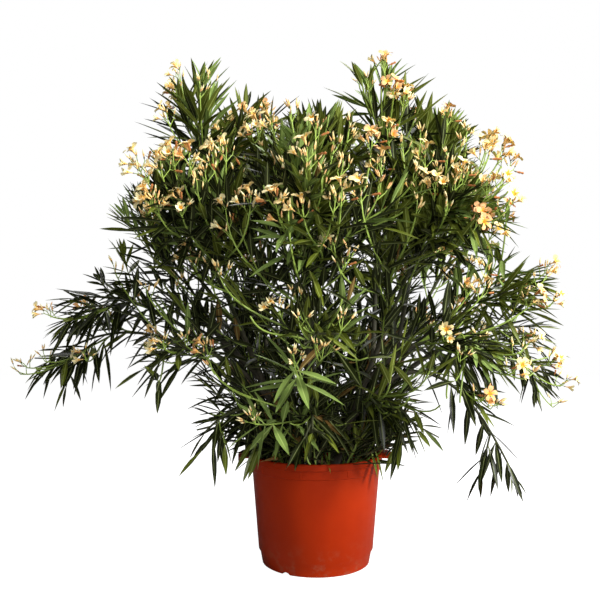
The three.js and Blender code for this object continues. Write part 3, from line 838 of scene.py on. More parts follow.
def share_fallen(shoot, place, k, settings):
    """The share of a whorl's leaves that has fallen: more of them further down a shoot, in the shade inside
    the shrub, and low on its two sides."""
    if shoot.head == "spray":
        return 0
    mass = shoot.mass
    fallen = mass.habit["lost"] * min(0.5 + 0.15 * k, 1.3)
    if shoot.roams:
        return fallen * 0.4
    is_shoulder = mass.kind == "shoulder"
    if not mass.sparse:
        shade_top = 800 if is_shoulder else 660
        fallen += settings.inner_loss * clamped((shade_top - place[2]) / 200)
    if is_shoulder:
        at_side = clamped((abs(place[0]) - 190) / 110)
        fallen += settings.side_loss * at_side * clamped((810 - place[2]) / 130)
    return fallen


def leaf_tone(shoot, k, roll, settings):
    """A leaf's green: its shoot's own, the brighter green of painted light at some tip leaves of a shoot in
    the dark green, or now and then faded.
    """
    tone = shoot.tone
    # Some tip leaves of a dark-green shoot take the full green, a painted lit tone.
    if tone == "mature" and k < 2 and roll() < 0.3:
        tone = "full"
    if roll() < settings.faded_share * (6 if shoot.roams else 1):
        tone = "faded"
    return TONES.index(tone)


def leaves_on(room, shoots, settings):
    """All the leaves of one mass, a row for each."""
    mass = shoots[0].mass
    roll = dice(mass.seed + 500)
    rows = []
    for shoot in shoots:
        turn = roll() * 120
        in_spray = shoot.head == "spray"
        hang = 0.22 if in_spray else mass.habit["hang"]
        for k, from_tip in enumerate(whorl_places(shoot, settings)):
            place, tangent = shoot.at(shoot.length - from_tip)
            turn += 60
            opening, widest = whorl_opening(shoot, k)
            fallen = mass.sparse + share_fallen(shoot, place, k, settings)
            for i in range(3):
                pitch = min(20 + 7 * k + opening, widest) + 24 * (roll() - 0.5)
                share = min(0.66 + 0.12 * k, 1) * lerp(0.82, 1.12, roll())
                if shoot.head:
                    share = max(share, 0.82)
                if mass.kind == "tuft":
                    share *= 1.15
                droop = hang * min(0.35 + 0.16 * k, 1.3) * lerp(0.6, 1.3, roll())
                direction = leaving(tangent, turn + i * 120 + 34 * (roll() - 0.5), pitch, droop)
                root = place + tangent * ((i - 1) * 1.2)
                if roll() < fallen:
                    continue
                sag = (0.06 + 0.012 * k) * roll()
                tone = leaf_tone(shoot, k, roll, settings)
                length = share * settings.leaf_length / MM
                rows.append((*root, *direction, length, sag, 56 * (roll() - 0.5), 40 * (roll() - 0.5), tone,
                             shoot.crossing, in_spray))
    return those_with_room(room, mass, np.array(rows))


def those_with_room(room, mass, rows):
    """The leaves that have room, as long as they are or a little shorter. The others are left out."""
    past_reach = 18 if mass.kind in ("crown", "tuft") else 4
    full = rows[:, LENGTH].copy()
    placed = np.zeros(len(rows), bool)
    for shorter in (1, 0.86, 0.7):
        left = np.flatnonzero(~placed)
        if not len(left):
            break
        lengths = full[left] * shorter
        crossing = rows[left, CROSSING] + 10
        fine = np.ones(len(left), bool)
        for share, half_width in ((0.4, 3), (0.72, 2), (1, 0)):
            points = rows[left, 0:3] + rows[left, 3:6] * (lengths * share)[:, None]
            fine &= room.is_free(mass, points, half_width, crossing, hanging=True, short_of=-past_reach)
            clear_of_sprays = (distances(points, room.openings) > SPRAY_CLEARANCE).all(1)
            fine &= clear_of_sprays | (rows[left, IN_SPRAY] > 0)
        rows[left[fine], LENGTH] = lengths[fine]
        placed[left[fine]] = True
    return rows[placed]


def choose_tones(shoots, settings):
    """Deals the leaf greens out by spray, as painted light and shade: a brighter green where a shoot stands
    out in the light is painted light, and a dark green low and inside the shrub is partly painted shade.
    """
    roll = dice(31)
    for shoot in shoots:
        draw = roll()
        tip = shoot.points[-1]
        outer = np.linalg.norm(tip - SOIL_CENTRE) / shoot.mass.reach
        # A guess at the light on the shoot's tip: more to the right, at the front, high up, further out and
        # on a flower head. It picks the painted lit and shaded greens.
        light = 0.36 + (tip[0] * 0.8 - tip[1] * 0.2 + (tip[2] - 710) * 1.6) / 1000
        light += 1.6 * (outer - 0.78) + (0.15 if shoot.head else 0)
        young = 0.15 if shoot.head == "leaves" else settings.young_share * 3 * light
        if shoot.head == "spray" or draw < young:
            shoot.tone = "young"
        # The full green is painted light; the dark green left over is partly painted shade, and shoots low
        # inside the shrub never take the lit green.
        elif draw < 0.08 + 0.62 * light and not shoot.roams:
            shoot.tone = "full"
        else:
            shoot.tone = "mature"


# Leaves that hang over the pot's rim: root and tip, in millimetres.
RIM_LEAVES = (
    ((-128, -92, 285), (-158, -118, 195)),
    ((-120, -100, 280), (-146, -134, 206)),
    ((-135, -80, 290), (-176, -104, 218)),
    ((18, -118, 266), (27, -160, 226)),
    ((125, -78, 276), (143, -108, 190)),
    ((118, -92, 264), (128, -126, 208)),
)


def rim_leaves():
    """The rows of the leaves that hang over the rim."""
    rows = []
    for root, tip in RIM_LEAVES:
        away = np.array(tip, float) - root
        length = np.linalg.norm(away)
        # Each takes the full green, a painted lit tone.
        rows.append((*root, *(away / length), length, -0.06, 20, 30, TONES.index("full"), 0, 0))
    return np.array(rows)


grown = {}


def shrub(context):
    """Grows the whole shrub once: its masses, shoots, leaves and flower heads."""
    if grown:
        return grown
    settings = context.scene.oleander_foliage
    masses = planned_masses()
    room = Room(masses)
    every = []
    for mass in masses:
        shoots = [own_stem(mass)]
        shoots += main_twigs(room, mass)
        shoots += finer_shoots(room, mass, list(shoots), settings)
        if mass.kind == "shoulder":
            shoots += inner_shoots(room, mass)
        every += shoots
    every += suckers(masses)
    at_front = front_shoots(room, every)
    other_heads(every, settings)
    every += at_front
    choose_tones(every, settings)
    of_mass = [[shoot for shoot in every if shoot.mass is mass] for mass in masses]
    leaves = np.concatenate([leaves_on(room, shoots, settings) for shoots in of_mass] + [rim_leaves()])
    cymes = Cymes(room)
    roll = dice(55)
    for shoot in every:
        if shoot.head and shoot.head != "leaves":
            cymes.add(shoot, roll)
    grown.update(masses=masses, shoots=every, leaves=leaves, cymes=cymes)
    return grown


# ---- Meshes from arrays ----


class Build:
    """Points and faces gathered for one mesh, each face with its material's place in the list."""

    def __init__(self):
        self.points = []
        self.faces = {3: [], 4: []}
        self.kinds = {3: [], 4: []}
        self.count = 0

    def add(self, points, quads=(), triangles=(), quad_kinds=0, triangle_kinds=0):
        self.points.append(points)
        for sides, faces, kinds in ((4, quads, quad_kinds), (3, triangles, triangle_kinds)):
            if len(faces):
                faces = np.asarray(faces, int)
                self.faces[sides].append(faces + self.count)
                self.kinds[sides].append(np.broadcast_to(kinds, len(faces)))
        self.count += len(points)

    def add_copies(self, points, template):
        """Copies of one small shape, whose points are already placed, as copies by points by 3."""
        copies, size = points.shape[:2]
        offsets = (np.arange(copies) * size)[:, None, None]
        quads = (template["quads"][None] + offsets).reshape(-1, 4)
        triangles = (template["triangles"][None] + offsets).reshape(-1, 3)
        quad_kinds = np.tile(template["quad_kinds"], copies)
        triangle_kinds = np.tile(template["triangle_kinds"], copies)
        self.add(points.reshape(-1, 3), quads, triangles, quad_kinds, triangle_kinds)

    def finish(self, name, materials, smooth_angle):
        """Makes an object of the gathered points and faces."""
        mesh = bpy.data.meshes.new(name)
        points = np.concatenate(self.points) * MM
        corners, sizes, kinds = [], [], []
        for sides in (3, 4):
            if self.faces[sides]:
                faces = np.concatenate(self.faces[sides])
                corners.append(faces.ravel())
                sizes.append(np.full(len(faces), sides))
                kinds.append(np.concatenate(self.kinds[sides]))
        corners, sizes, kinds = (np.concatenate(rows) for rows in (corners, sizes, kinds))
        mesh.vertices.add(len(points))
        mesh.vertices.foreach_set("co", points.astype(np.float32).ravel())
        mesh.loops.add(len(corners))
        mesh.loops.foreach_set("vertex_index", corners.astype(np.int32))
        mesh.polygons.add(len(sizes))
        mesh.polygons.foreach_set("loop_start", (np.cumsum(sizes) - sizes).astype(np.int32))
        mesh.polygons.foreach_set("material_index", kinds.astype(np.int32))
        mesh.update(calc_edges=True)
        for material in materials:
            mesh.materials.append(material)
        piece = bpy.data.objects.new(name, mesh)
        bpy.context.scene.collection.objects.link(piece)
        smooth(piece, smooth_angle)
        return piece


def tube(build, points, radii, sides, bumps=None):
    """A closed tube along a line of points, its frame carried along without twisting."""
    tangents = unit(np.gradient(points, axis=0))
    across = sideways(tangents[0])[0]
    frames = []
    for tangent in tangents:
        across = unit(across - tangent * (across @ tangent))
        frames.append((across, np.cross(tangent, across)))
    turn = np.arange(sides) * (2 * np.pi / sides)
    first, second = (np.array([pair[i] for pair in frames])[:, None] for i in (0, 1))
    wheel = first * np.cos(turn)[None, :, None] + second * np.sin(turn)[None, :, None]
    reach = np.asarray(radii, float)[:, None] * (1 if bumps is None else bumps)
    rings = points[:, None] + wheel * np.broadcast_to(reach, wheel.shape[:2])[..., None]
    count = len(points)
    corner = np.arange(sides)
    following = (corner + 1) % sides
    starts = (np.arange(count - 1) * sides)[:, None]
    quads = np.stack((starts + corner, starts + following, starts + sides + following,
                      starts + sides + corner), -1).reshape(-1, 4)
    ends = np.stack((points[0], points[-1] + tangents[-1] * radii[-1] * 0.6))
    foot, tip = count * sides, count * sides + 1
    last = (count - 1) * sides
    triangles = [(foot, following[i], i) for i in range(sides)]
    triangles += [(last + i, last + following[i], tip) for i in range(sides)]
    build.add(np.vstack((rings.reshape(-1, 3), ends)), quads, triangles)


def as_template(points, quads, quad_kinds, triangles, triangle_kinds):
    """A small shape to be copied: its points, its faces, and its material's place for each face."""
    return {
        "points": np.array(points, float),
        "quads": np.array(quads, int).reshape(-1, 4),
        "quad_kinds": np.array(quad_kinds, int),
        "triangles": np.array(triangles, int).reshape(-1, 3),
        "triangle_kinds": np.array(triangle_kinds, int),
    }


def lofted(points, sides, kinds, foot_kind, reverse=False):
    """A closed shape through a first point, rings of points and a last point. Kinds holds a row for each
    ring, with its material's place for each side."""
    rings = len(kinds)
    last = 1 + (rings - 1) * sides
    quads, quad_kinds, triangles, triangle_kinds = [], [], [], []
    for ring in range(rings):
        near = 1 + ring * sides
        for i in range(sides):
            a, b = i, (i + 1) % sides
            if reverse:
                a, b = b, a
            if ring < rings - 1:
                quads.append((near + a, near + b, near + sides + b, near + sides + a))
                quad_kinds.append(kinds[ring][i])
            else:
                triangles += [(0, 1 + b, 1 + a), (last + a, last + b, last + sides)]
                triangle_kinds += [foot_kind, kinds[ring][i]]
    return as_template(points, quads, quad_kinds, triangles, triangle_kinds)


def leaf_template():
    """A lance-shaped leaf of length and half width 1: a blade folded along a pale rib, thin but closed. Its
    materials are its upper face, its rib, pale in part as painted sheen, and its underside, in this order."""
    stations = ((0.07, 0.16), (0.24, 0.68), (0.46, 1.0), (0.7, 0.78), (0.88, 0.36))
    points = [(0, 0, 0)]
    for along, width in stations:
        rib = 0.16 * (1.15 - along)
        fold = 0.3 * width
        points += [
            (-width, along, fold),
            (-rib, along, 0.03),
            (rib, along, 0.03),
            (width, along, fold),
            (rib * 1.1, along, -0.07 * (1.2 - along)),
            (-rib * 1.1, along, -0.07 * (1.2 - along)),
        ]
    points.append((0, 1, 0))
    kinds = (0, 1, 0, 2, 1, 2)
    return lofted(points, len(kinds), [kinds] * len(stations), 1)


def basis(directions):
    """The side and face of pieces that grow along directions with their upper side up."""
    side = np.cross(directions, UP)
    flat = np.linalg.norm(side, axis=1) < 0.05
    side[flat] = np.cross(directions[flat], ACROSS)
    side = unit(side)
    return side, np.cross(side, directions)


def place_leaves(rows, template, half_width):
    """Each leaf's points: sagging towards the tip, turned and twisted about its own length."""
    roots, directions = rows[:, 0:3], rows[:, 3:6]
    lengths, sag = rows[:, LENGTH, None], rows[:, SAG, None]
    side, face = basis(directions)
    shape = template["points"]
    placed = np.empty((len(rows), len(shape), 3))
    widths = half_width * np.clip(0.45 + 0.55 * lengths / 115, 0.4, 1.05)
    widths = widths * (1 + 0.3 * rows[:, IN_SPRAY, None])
    for i, (across, along, above) in enumerate(shape):
        turn = np.radians(rows[:, TURN, None] + rows[:, TWIST, None] * along)
        turned_side = side * np.cos(turn) + face * np.sin(turn)
        turned_face = face * np.cos(turn) - side * np.sin(turn)
        centre = roots + directions * lengths * along - UP * (lengths * sag * along**2)
        placed[:, i] = centre + turned_side * (across * widths) + turned_face * (above * widths)
    return placed


def lathe_template(rings, sides, kinds, inner_tip=None):
    """A closed turned shape along +Y: rings of radius and height, ended by points on its axis. A flower's
    materials are its petals, its throat, its tube and its calyx, in this order."""
    turn = np.arange(sides) * (2 * np.pi / sides)
    points = [(0, rings[0][1], 0)]
    for radius, height in rings:
        points += [(radius * math.cos(a), height, radius * math.sin(a)) for a in turn]
    points.append((0, rings[-1][1] if inner_tip is None else inner_tip, 0))
    return lofted(points, sides, [(kind,) * sides for kind in kinds], kinds[0], reverse=True)


def joined(*templates):
    """Several templates as one."""
    starts = np.cumsum([0] + [len(template["points"]) for template in templates])
    whole = {key: np.concatenate([template[key] for template in templates])
             for key in ("points", "quad_kinds", "triangle_kinds")}
    for key in ("quads", "triangles"):
        whole[key] = np.concatenate([template[key] + start for template, start in zip(templates, starts)])
    return whole


def spun(points, turn, first, second):
    """Points turned about an axis, given the two other axes."""
    turned = points.copy()
    turned[:, first] = points[:, first] * math.cos(turn) - points[:, second] * math.sin(turn)
    turned[:, second] = points[:, first] * math.sin(turn) + points[:, second] * math.cos(turn)
    return turned


def petal_template(turn, tilt, cup):
    """One broad petal, cut off slantwise at its end and tilted like a propeller's blade. Its points are
    given by their radius, their place across the petal and their height."""
    foot = 5.2
    outline = ((foot, -3.2, 20.5), (12.5, -5.4, 24.5), (19.5, -4.0, 24.0), (22.0, 3.2, 22.4),
               (18.8, 8.6, 24.2), (12.0, 7.2, 25.2), (foot, 3.2, 20.8))
    faces = ((12.5, 0.8, 25.5), (12.5, 0.8, 24.5))
    points = []
    for radius, across, height in outline + faces:
        points.append((radius * (1 - 0.35 * cup), height + across * tilt + (radius - foot) * cup, across))
    sides = len(outline)
    triangles, kinds = [], []
    for i in range(sides):
        following = (i + 1) % sides
        triangles += [(sides, following, i), (sides + 1, i, following)]
        is_foot = i == sides - 1
        kinds += [int(is_foot)] * 2
    return as_template(spun(np.array(points, float), turn, 0, 2), (), (), triangles, kinds)


def flower_template(cup):
    """An open flower along +Y, in millimetres: a narrow tube that widens to a throat, with five petals."""
    funnel = lathe_template(
        ((1.1, 0), (2.3, 2.5), (1.5, 4.5), (1.9, 11), (6.4, 20.5), (5.6, 21)),
        6, (3, 3, 2, 2, 1, 1), inner_tip=11,
    )
    heart = lathe_template(((1.4, 13), (0.9, 21), (0.3, 24)), 4, (1, 1, 1))
    petals = [petal_template(i * 2 * math.pi / 5, 0.32, cup) for i in range(5)]
    return joined(funnel, heart, *petals)


def cupped_template():
    """A half-open flower: the same tube, its petals still standing up round the throat."""
    funnel = lathe_template(
        ((1.1, 0), (2.3, 2.5), (1.5, 4.5), (1.9, 11), (5.4, 20.0), (4.6, 20.5)),
        6, (3, 3, 2, 2, 1, 1), inner_tip=12,
    )
    petals = [petal_template(i * 2 * math.pi / 5, 0.4, 0.7) for i in range(5)]
    flower = joined(funnel, *petals)
    flower["points"] = flower["points"] * np.array((0.72, 0.8, 0.72))
    return flower


def bud_template():
    """A slender pointed bud on a small calyx."""
    return lathe_template(((0.8, 0), (1.9, 2.5), (1.5, 5), (2.6, 13), (1.6, 19.5), (0.3, 24)), 5,
                          (3, 3, 2, 0, 0, 0))


def spent_template():
    """A withered flower, crumpled to a limp tube."""
    return lathe_template(((0.8, 0), (2.0, 2.5), (1.5, 6), (3.3, 14), (2.1, 18), (3.6, 23), (0.9, 26)), 5,
                          (3, 3, 1, 1, 1, 1, 1))


def place_items(items, template, scale):
    """Flowers or buds grown along their stalks, each turned about its own stalk."""
    places = np.array([item[0] for item in items])
    directions = np.array([item[1] for item in items])
    sizes = np.array([item[2] for item in items])[:, None] * scale
    turns = np.radians(np.array([item[3] for item in items]))[:, None]
    side, face = basis(directions)
    turned_side = side * np.cos(turns) + face * np.sin(turns)
    turned_face = face * np.cos(turns) - side * np.sin(turns)
    shape = template["points"]
    placed = np.empty((len(items), len(shape), 3))
    for i, (across, along, above) in enumerate(shape):
        placed[:, i] = places + (turned_side * across + directions * along + turned_face * above) * sizes
    return placed


# ---- Modelling helpers ----


def deselect_everything():
    if bpy.context.object and bpy.context.object.mode != "OBJECT":
        bpy.ops.object.mode_set(mode="OBJECT")
    bpy.ops.object.select_all(action="DESELECT")


def select_only(piece):
    deselect_everything()
    piece.select_set(True)
    bpy.context.view_layer.objects.active = piece


def smooth(piece, degrees):
    """Rounds the shading over all edges that are less sharp than this."""
    select_only(piece)
    bpy.ops.object.shade_smooth_by_angle(angle=math.radians(degrees))


def extrude_through(profile):
    """In edit mode, raises the selected round face through a list of radii and heights."""
    for (radius, height), (next_radius, next_height) in zip(profile, profile[1:]):
        rise = (next_height - height) * MM
        bpy.ops.mesh.extrude_region_move(TRANSFORM_OT_translate={"value": (0, 0, rise)})
        ratio = next_radius / radius
        bpy.ops.transform.resize(value=(ratio, ratio, 1), center_override=(0, 0, next_height * MM))


def select_faces(piece, wanted):
    """In edit mode, selects the faces for which wanted says yes to their centre and normal."""
    bpy.ops.mesh.select_mode(type="FACE")
    bpy.ops.mesh.select_all(action="DESELECT")
    mesh = bmesh.from_edit_mesh(piece.data)
    for face in mesh.faces:
        if wanted(face.calc_center_median(), face.normal):
            face.select_set(True)
    bmesh.update_edit_mesh(piece.data)


def degrees_apart(a, b):
    return abs((a - b + 180) % 360 - 180)


def azimuth_of(point):
    return math.degrees(math.atan2(point.y, point.x)) % 360


def apply_modifier(piece, kind, **settings):
    select_only(piece)
    modifier = piece.modifiers.new(kind.title(), kind)
    for key, value in settings.items():
        setattr(modifier, key, value)
    bpy.ops.object.modifier_apply(modifier=modifier.name)


def dress(piece, material):
    piece.data.materials.clear()
    piece.data.materials.append(material)


def ride_as(piece, slot, *nodes):
    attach(piece, "root")
    if nodes:
        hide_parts(*nodes)


def nodes_named(*prefixes):
    return [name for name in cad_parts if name.startswith(prefixes)]


# ---- Materials ----


class Value:
    """A shader value that arithmetic adds Math nodes to."""

    def __init__(self, nodes, socket):
        self.nodes = nodes
        self.socket = socket

    def math(self, operation, *values):
        return self.nodes.add("ShaderNodeMath", {"operation": operation}, dict(enumerate(values)))

    def __add__(self, other):
        return self.math("ADD", self, other)

    def __radd__(self, other):
        return self.math("ADD", other, self)

    def __sub__(self, other):
        return self.math("SUBTRACT", self, other)

    def __rsub__(self, other):
        return self.math("SUBTRACT", other, self)

    def __mul__(self, other):
        return self.math("MULTIPLY", self, other)

    def __rmul__(self, other):
        return self.math("MULTIPLY", other, self)


class Nodes:
    """A node tree that nodes are added to."""

    def __init__(self, tree):
        self.tree = tree

    def node(self, kind, settings=None, values=None):
        node = self.tree.nodes.new(kind)
        for key, value in (settings or {}).items():
            setattr(node, key, value)
        for key, value in (values or {}).items():
            self.set(node.inputs[key], value)
        return node

    def add(self, kind, settings=None, values=None, output=0):
        return Value(self, self.node(kind, settings, values).outputs[output])

    def set(self, socket, value):
        if isinstance(value, Value):
            self.tree.links.new(value.socket, socket)
        else:
            socket.default_value = value

    def ranged(self, value, low, high, to_low=0.0, to_high=1.0):
        values = {"Value": value, "From Min": low, "From Max": high, "To Min": to_low, "To Max": to_high}
        return self.add("ShaderNodeMapRange", {"clamp": True}, values)

    def mix(self, share, first, second):
        """A colour between two colours."""
        node = self.node("ShaderNodeMix", {"data_type": "RGBA"}, {0: share, 6: first, 7: second})
        return Value(self, node.outputs[2])


class Finish(Nodes):
    """One material and its node tree."""

    def __init__(self, name):
        self.material = bpy.data.materials.new(name)
        self.material.use_nodes = True
        super().__init__(self.material.node_tree)
        self.shader = self.tree.nodes["Principled BSDF"]
        self.coordinates = None

    def surface(self, **values):
        for name, value in values.items():
            self.set(self.shader.inputs[name.replace("_", " ").title()], value)

    def shine(self, level):
        self.set(self.shader.inputs["Specular IOR Level"], level)

    def places(self):
        """Object coordinates, in metres."""
        if self.coordinates is None:
            self.coordinates = self.add("ShaderNodeTexCoord", output="Object")
        return self.coordinates

    def stretched(self, scale):
        return self.add("ShaderNodeMapping", {}, {"Vector": self.places(), "Scale": scale})

    def noise(self, scale, detail=3, roughness=0.5, where=None):
        where = where or self.places()
        values = {"Vector": where, "Scale": scale, "Detail": detail, "Roughness": roughness}
        return self.add("ShaderNodeTexNoise", {}, values, output="Fac")

    def cells(self, scale, where=None):
        values = {"Vector": where or self.places(), "Scale": scale}
        return self.add("ShaderNodeTexVoronoi", {"feature": "F1"}, values, output="Distance")

    def height(self):
        where = self.node("ShaderNodeSeparateXYZ", {}, {0: self.places()})
        return Value(self, where.outputs[2])

    def bump(self, height, strength, distance):
        values = {"Strength": strength, "Distance": distance, "Height": height}
        self.surface(normal=self.add("ShaderNodeBump", {}, values))


def colour(values):
    return (*values, 1.0)


def pot_plastic(settings):
    """Satin moulded plastic: faint streaks from moulding, a fine grain, and soil dust low down."""
    finish = Finish("moulded_plastic")
    body, deep = colour(settings.plastic_colour), colour(settings.plastic_shade)
    clouds = finish.noise(9, 4, 0.6)
    streaks = finish.noise(24, 3, 0.5, finish.stretched((1, 1, 0.12)))
    base = finish.mix(finish.ranged(clouds * 0.6 + streaks * 0.4, 0.38, 0.66), body, deep)
    low = finish.ranged(finish.height(), 0.0, 0.075, 1.0, 0.0)
    patches = finish.ranged(finish.noise(38, 6, 0.7), 0.5, 0.72)
    dust = low * patches * 0.45
    specks = finish.ranged(finish.cells(420), 0.0, 0.12, 1.0, 0.0) * finish.ranged(clouds, 0.5, 0.7)
    dusty = finish.mix(dust + specks * 0.1, base, colour(settings.dust_colour))
    finish.shine(0.1)
    finish.surface(
        base_color=dusty,
        roughness=finish.ranged(finish.noise(60, 4), 0.3, 0.7, 0.42, 0.54) + dust * 0.4,
    )
    grain = finish.noise(900, 2) * 0.5 + finish.noise(26, 2, 0.5, finish.stretched((1, 1, 0.1)))
    finish.bump(grain, 0.12, 0.001)
    return finish.material


def peat(settings):
    """Damp peat with fibres and paler crumbs."""
    finish = Finish("peat")
    coarse = finish.noise(70, 6, 0.7)
    fine = finish.noise(420, 4, 0.6)
    crumbs = finish.cells(190)
    dark, pale = colour(settings.soil_colour), colour(settings.soil_crumb_colour)
    finish.surface(
        base_color=finish.mix(finish.ranged(coarse * 0.6 + fine * 0.4, 0.36, 0.66), dark, pale),
        roughness=finish.ranged(fine, 0.3, 0.7, 0.82, 1.0),
    )
    finish.bump(coarse + fine * 0.6 - crumbs * 0.5, 0.8, 0.004)
    return finish.material


def mottled(name, first, second, scale, rough, depth):
    """A mottled natural surface between two colours."""
    finish = Finish(name)
    spots = finish.noise(scale, 5, 0.6)
    finish.surface(
        base_color=finish.mix(finish.ranged(spots, 0.34, 0.66), colour(first), colour(second)),
        roughness=finish.ranged(spots, 0.3, 0.7, rough - 0.08, min(rough + 0.08, 1)),
    )
    finish.bump(spots, 0.5, depth)
    return finish.material


def bark_finish(settings):
    """Smooth grey-brown bark with corky pores, paler ridges and a green cast higher up."""
    finish = Finish("bark")
    along = finish.stretched((1, 1, 0.3))
    ridges = finish.noise(150, 6, 0.65, along)
    pores = finish.ranged(finish.cells(230, where=finish.stretched((1, 1, 0.5))), 0.05, 0.22, 1.0, 0.0)
    dark, pale = colour(settings.bark_colour), colour(settings.bark_pale_colour)
    green = colour(settings.young_bark_colour)
    wood = finish.mix(finish.ranged(ridges, 0.34, 0.68), dark, pale)
    higher = finish.ranged(finish.height(), 0.3, 0.62, 0.0, 0.75)
    tinted = finish.mix(higher, wood, green)
    finish.surface(
        base_color=finish.mix(pores * 0.4, tinted, pale),
        roughness=finish.ranged(ridges, 0.3, 0.7, 0.7, 0.92),
    )
    finish.bump(ridges + pores * 0.5, 0.6, 0.0015)
    return finish.material


def plain(name, values, rough, shine):
    """A finish that is the same all over a leaf or petal, as sprays are told apart by their own greens,
    some of them painted lit and shaded tones.
    """
    finish = Finish(name)
    finish.surface(base_color=colour(values), roughness=rough)
    finish.shine(shine)
    return finish.material


# ---- Settings ----


def colour_property(name, description, default):
    return FloatVectorProperty(name=name, description=description, default=default, subtype="COLOR",
                               min=0, max=1)


def length_property(name, description, default):
    return FloatProperty(name=name, description=description, default=default, min=0, unit="LENGTH")


def share_property(name, description, default):
    return FloatProperty(name=name, description=description, default=default, min=0, max=1,
                         subtype="FACTOR")


class OleanderPotSettings(bpy.types.PropertyGroup):
    """Sizes and colours of the pot and its soil."""

    sides: IntProperty(name="Sides", description="Flat sides to the round wall", default=144, min=24)
    edge: length_property("Edge", "Width of the rounded edges", 0.0006)
    rib_count: IntProperty(name="Ribs", description="Small ribs on the stacking band", default=9, min=1)
    rib_depth: length_property("Rib depth", "How far a rib stands out", 0.0009)
    plastic_colour: colour_property("Plastic", "Colour of the plastic", (0.38, 0.0245, 0.0006))
    plastic_shade: colour_property("Plastic shade", "Streaks in the plastic", (0.33, 0.0195, 0.0006))
    dust_colour: colour_property("Dust", "Dry soil on the plastic", (0.25, 0.17, 0.1))
    soil_colour: colour_property("Peat", "Damp peat", (0.012, 0.008, 0.005))
    soil_crumb_colour: colour_property("Crumbs", "Drier crumbs of peat", (0.055, 0.035, 0.02))
    soil_relief: length_property("Soil relief", "Height of the lumps in the soil", 0.006)


class OleanderFoliageSettings(bpy.types.PropertyGroup):
    """Sizes, counts and colours of what grows."""

    leaf_length: length_property("Leaf length", "Length of a grown leaf", 0.102)
    leaf_width: length_property("Leaf width", "Width of a grown leaf", 0.0148)
    whorl_spacing: length_property("Whorl spacing", "Between whorls of three leaves", 0.025)
    leafy_length: length_property("Leafy length", "How much of a shoot bears leaves", 0.15)
    density: FloatProperty(name="Density", description="How thickly the finer shoots stand", default=1.0,
                           min=0)
    inner_loss: share_property("Inner loss", "Share of the leaves that fell in the shade low down", 0.42)
    side_loss: share_property("Side loss", "Share of the leaves that fell low on the sides", 0.28)
    faded_share: share_property("Faded leaves", "Share of the leaves that have yellowed", 0.006)
    # The share of young sprays is scaled by a guess at the light on each shoot, so it places painted light
    # too.
    young_share: share_property("Young sprays", "Share of the sprays with bright young leaves", 0.08)
    flowering_share: share_property("Flowering", "Share of the outer shoots that flower", 0.42)
    # Partly the dark green of old leaves and partly painted shade, given to leaves low and inside the
    # shrub.
    mature_colour: colour_property("Mature leaf", "Dark leaves", (0.012, 0.016, 0.003))
    # Painted light: the green given to leaves where light falls on them.
    full_colour: colour_property("Grown leaf", "Leaves in their full green", (0.108, 0.134, 0.013))
    # The bright green of young leaves, dealt partly by where light falls, as painted light.
    young_colour: colour_property("Young leaf", "Bright young leaves", (0.205, 0.295, 0.07))
    faded_colour: colour_property("Faded leaf", "Yellowed and dry leaves", (0.2, 0.11, 0.03))
    twig_colour: colour_property("Twig", "Side twigs", (0.05, 0.055, 0.022))
    shoot_colour: colour_property("Shoot", "Fresh shoots and flower stalks", (0.3, 0.42, 0.07))
    bark_colour: colour_property("Bark", "Furrows of the bark", (0.035, 0.028, 0.02))
    bark_pale_colour: colour_property("Pale bark", "Ridges and pores of the bark", (0.085, 0.07, 0.048))
    young_bark_colour: colour_property("Young bark", "Green cast higher up", (0.034, 0.038, 0.014))


class OleanderBlossomSettings(bpy.types.PropertyGroup):
    """Sizes and colours of the blossom."""

    flower_diameter: length_property("Flower diameter", "Across an open flower", 0.037)
    pale_petal: colour_property("Pale petal", "Pale yellow petals", (0.97, 0.86, 0.48))
    apricot_petal: colour_property("Apricot petal", "Apricot petals", (0.95, 0.75, 0.35))
    peach_petal: colour_property("Peach petal", "Peach petals", (0.87, 0.47, 0.2))
    throat: colour_property("Throat", "Inside of the throat", (0.9, 0.48, 0.06))
    flower_tube: colour_property("Tube", "Outside of the flower's tube", (0.87, 0.55, 0.2))
    calyx: colour_property("Calyx", "The small cup under each flower", (0.13, 0.11, 0.04))
    spent: colour_property("Spent", "Withered flowers", (0.42, 0.16, 0.05))


class OleanderStageSettings(bpy.types.PropertyGroup):
    """The camera, the lights and the floor."""

    lens: FloatProperty(name="Lens", description="Focal length in millimetres", default=42.72, min=1)
    rise: FloatProperty(name="Rise", description="Upward shift of the lens", default=0.0483)
    key_power: FloatProperty(name="Key light", description="Power of the key light", default=198,
                             unit="POWER")
    sky: FloatProperty(name="Sky light", description="Strength of the even light", default=0.015, min=0)
    floor_glow: FloatProperty(name="Floor glow", description="How far the floor is lifted to white",
                              default=0.97, min=0)
    floor_size: length_property("Floor", "Width of the floor", 14)


# ---- Operators ----


# The soft lights: where each is, in metres, the height that it is aimed at, its size, and its share of the
# key light's power.
LIGHTS = {
    "key": ((2.6, -1.75, 2.0), 0.5, 0.85, 1),
    "top": ((0.3, 0.5, 3.2), 0.6, 2.0, 0.3),
    "front": ((0.2, -3.3, 1.5), 0.5, 1.2, 0.22),
    "back": ((0.3, 3.0, 2.7), 0.5, 2.0, 0.17),
}
WHITE = (1, 1, 1, 1)
BLACK = (0, 0, 0, 1)


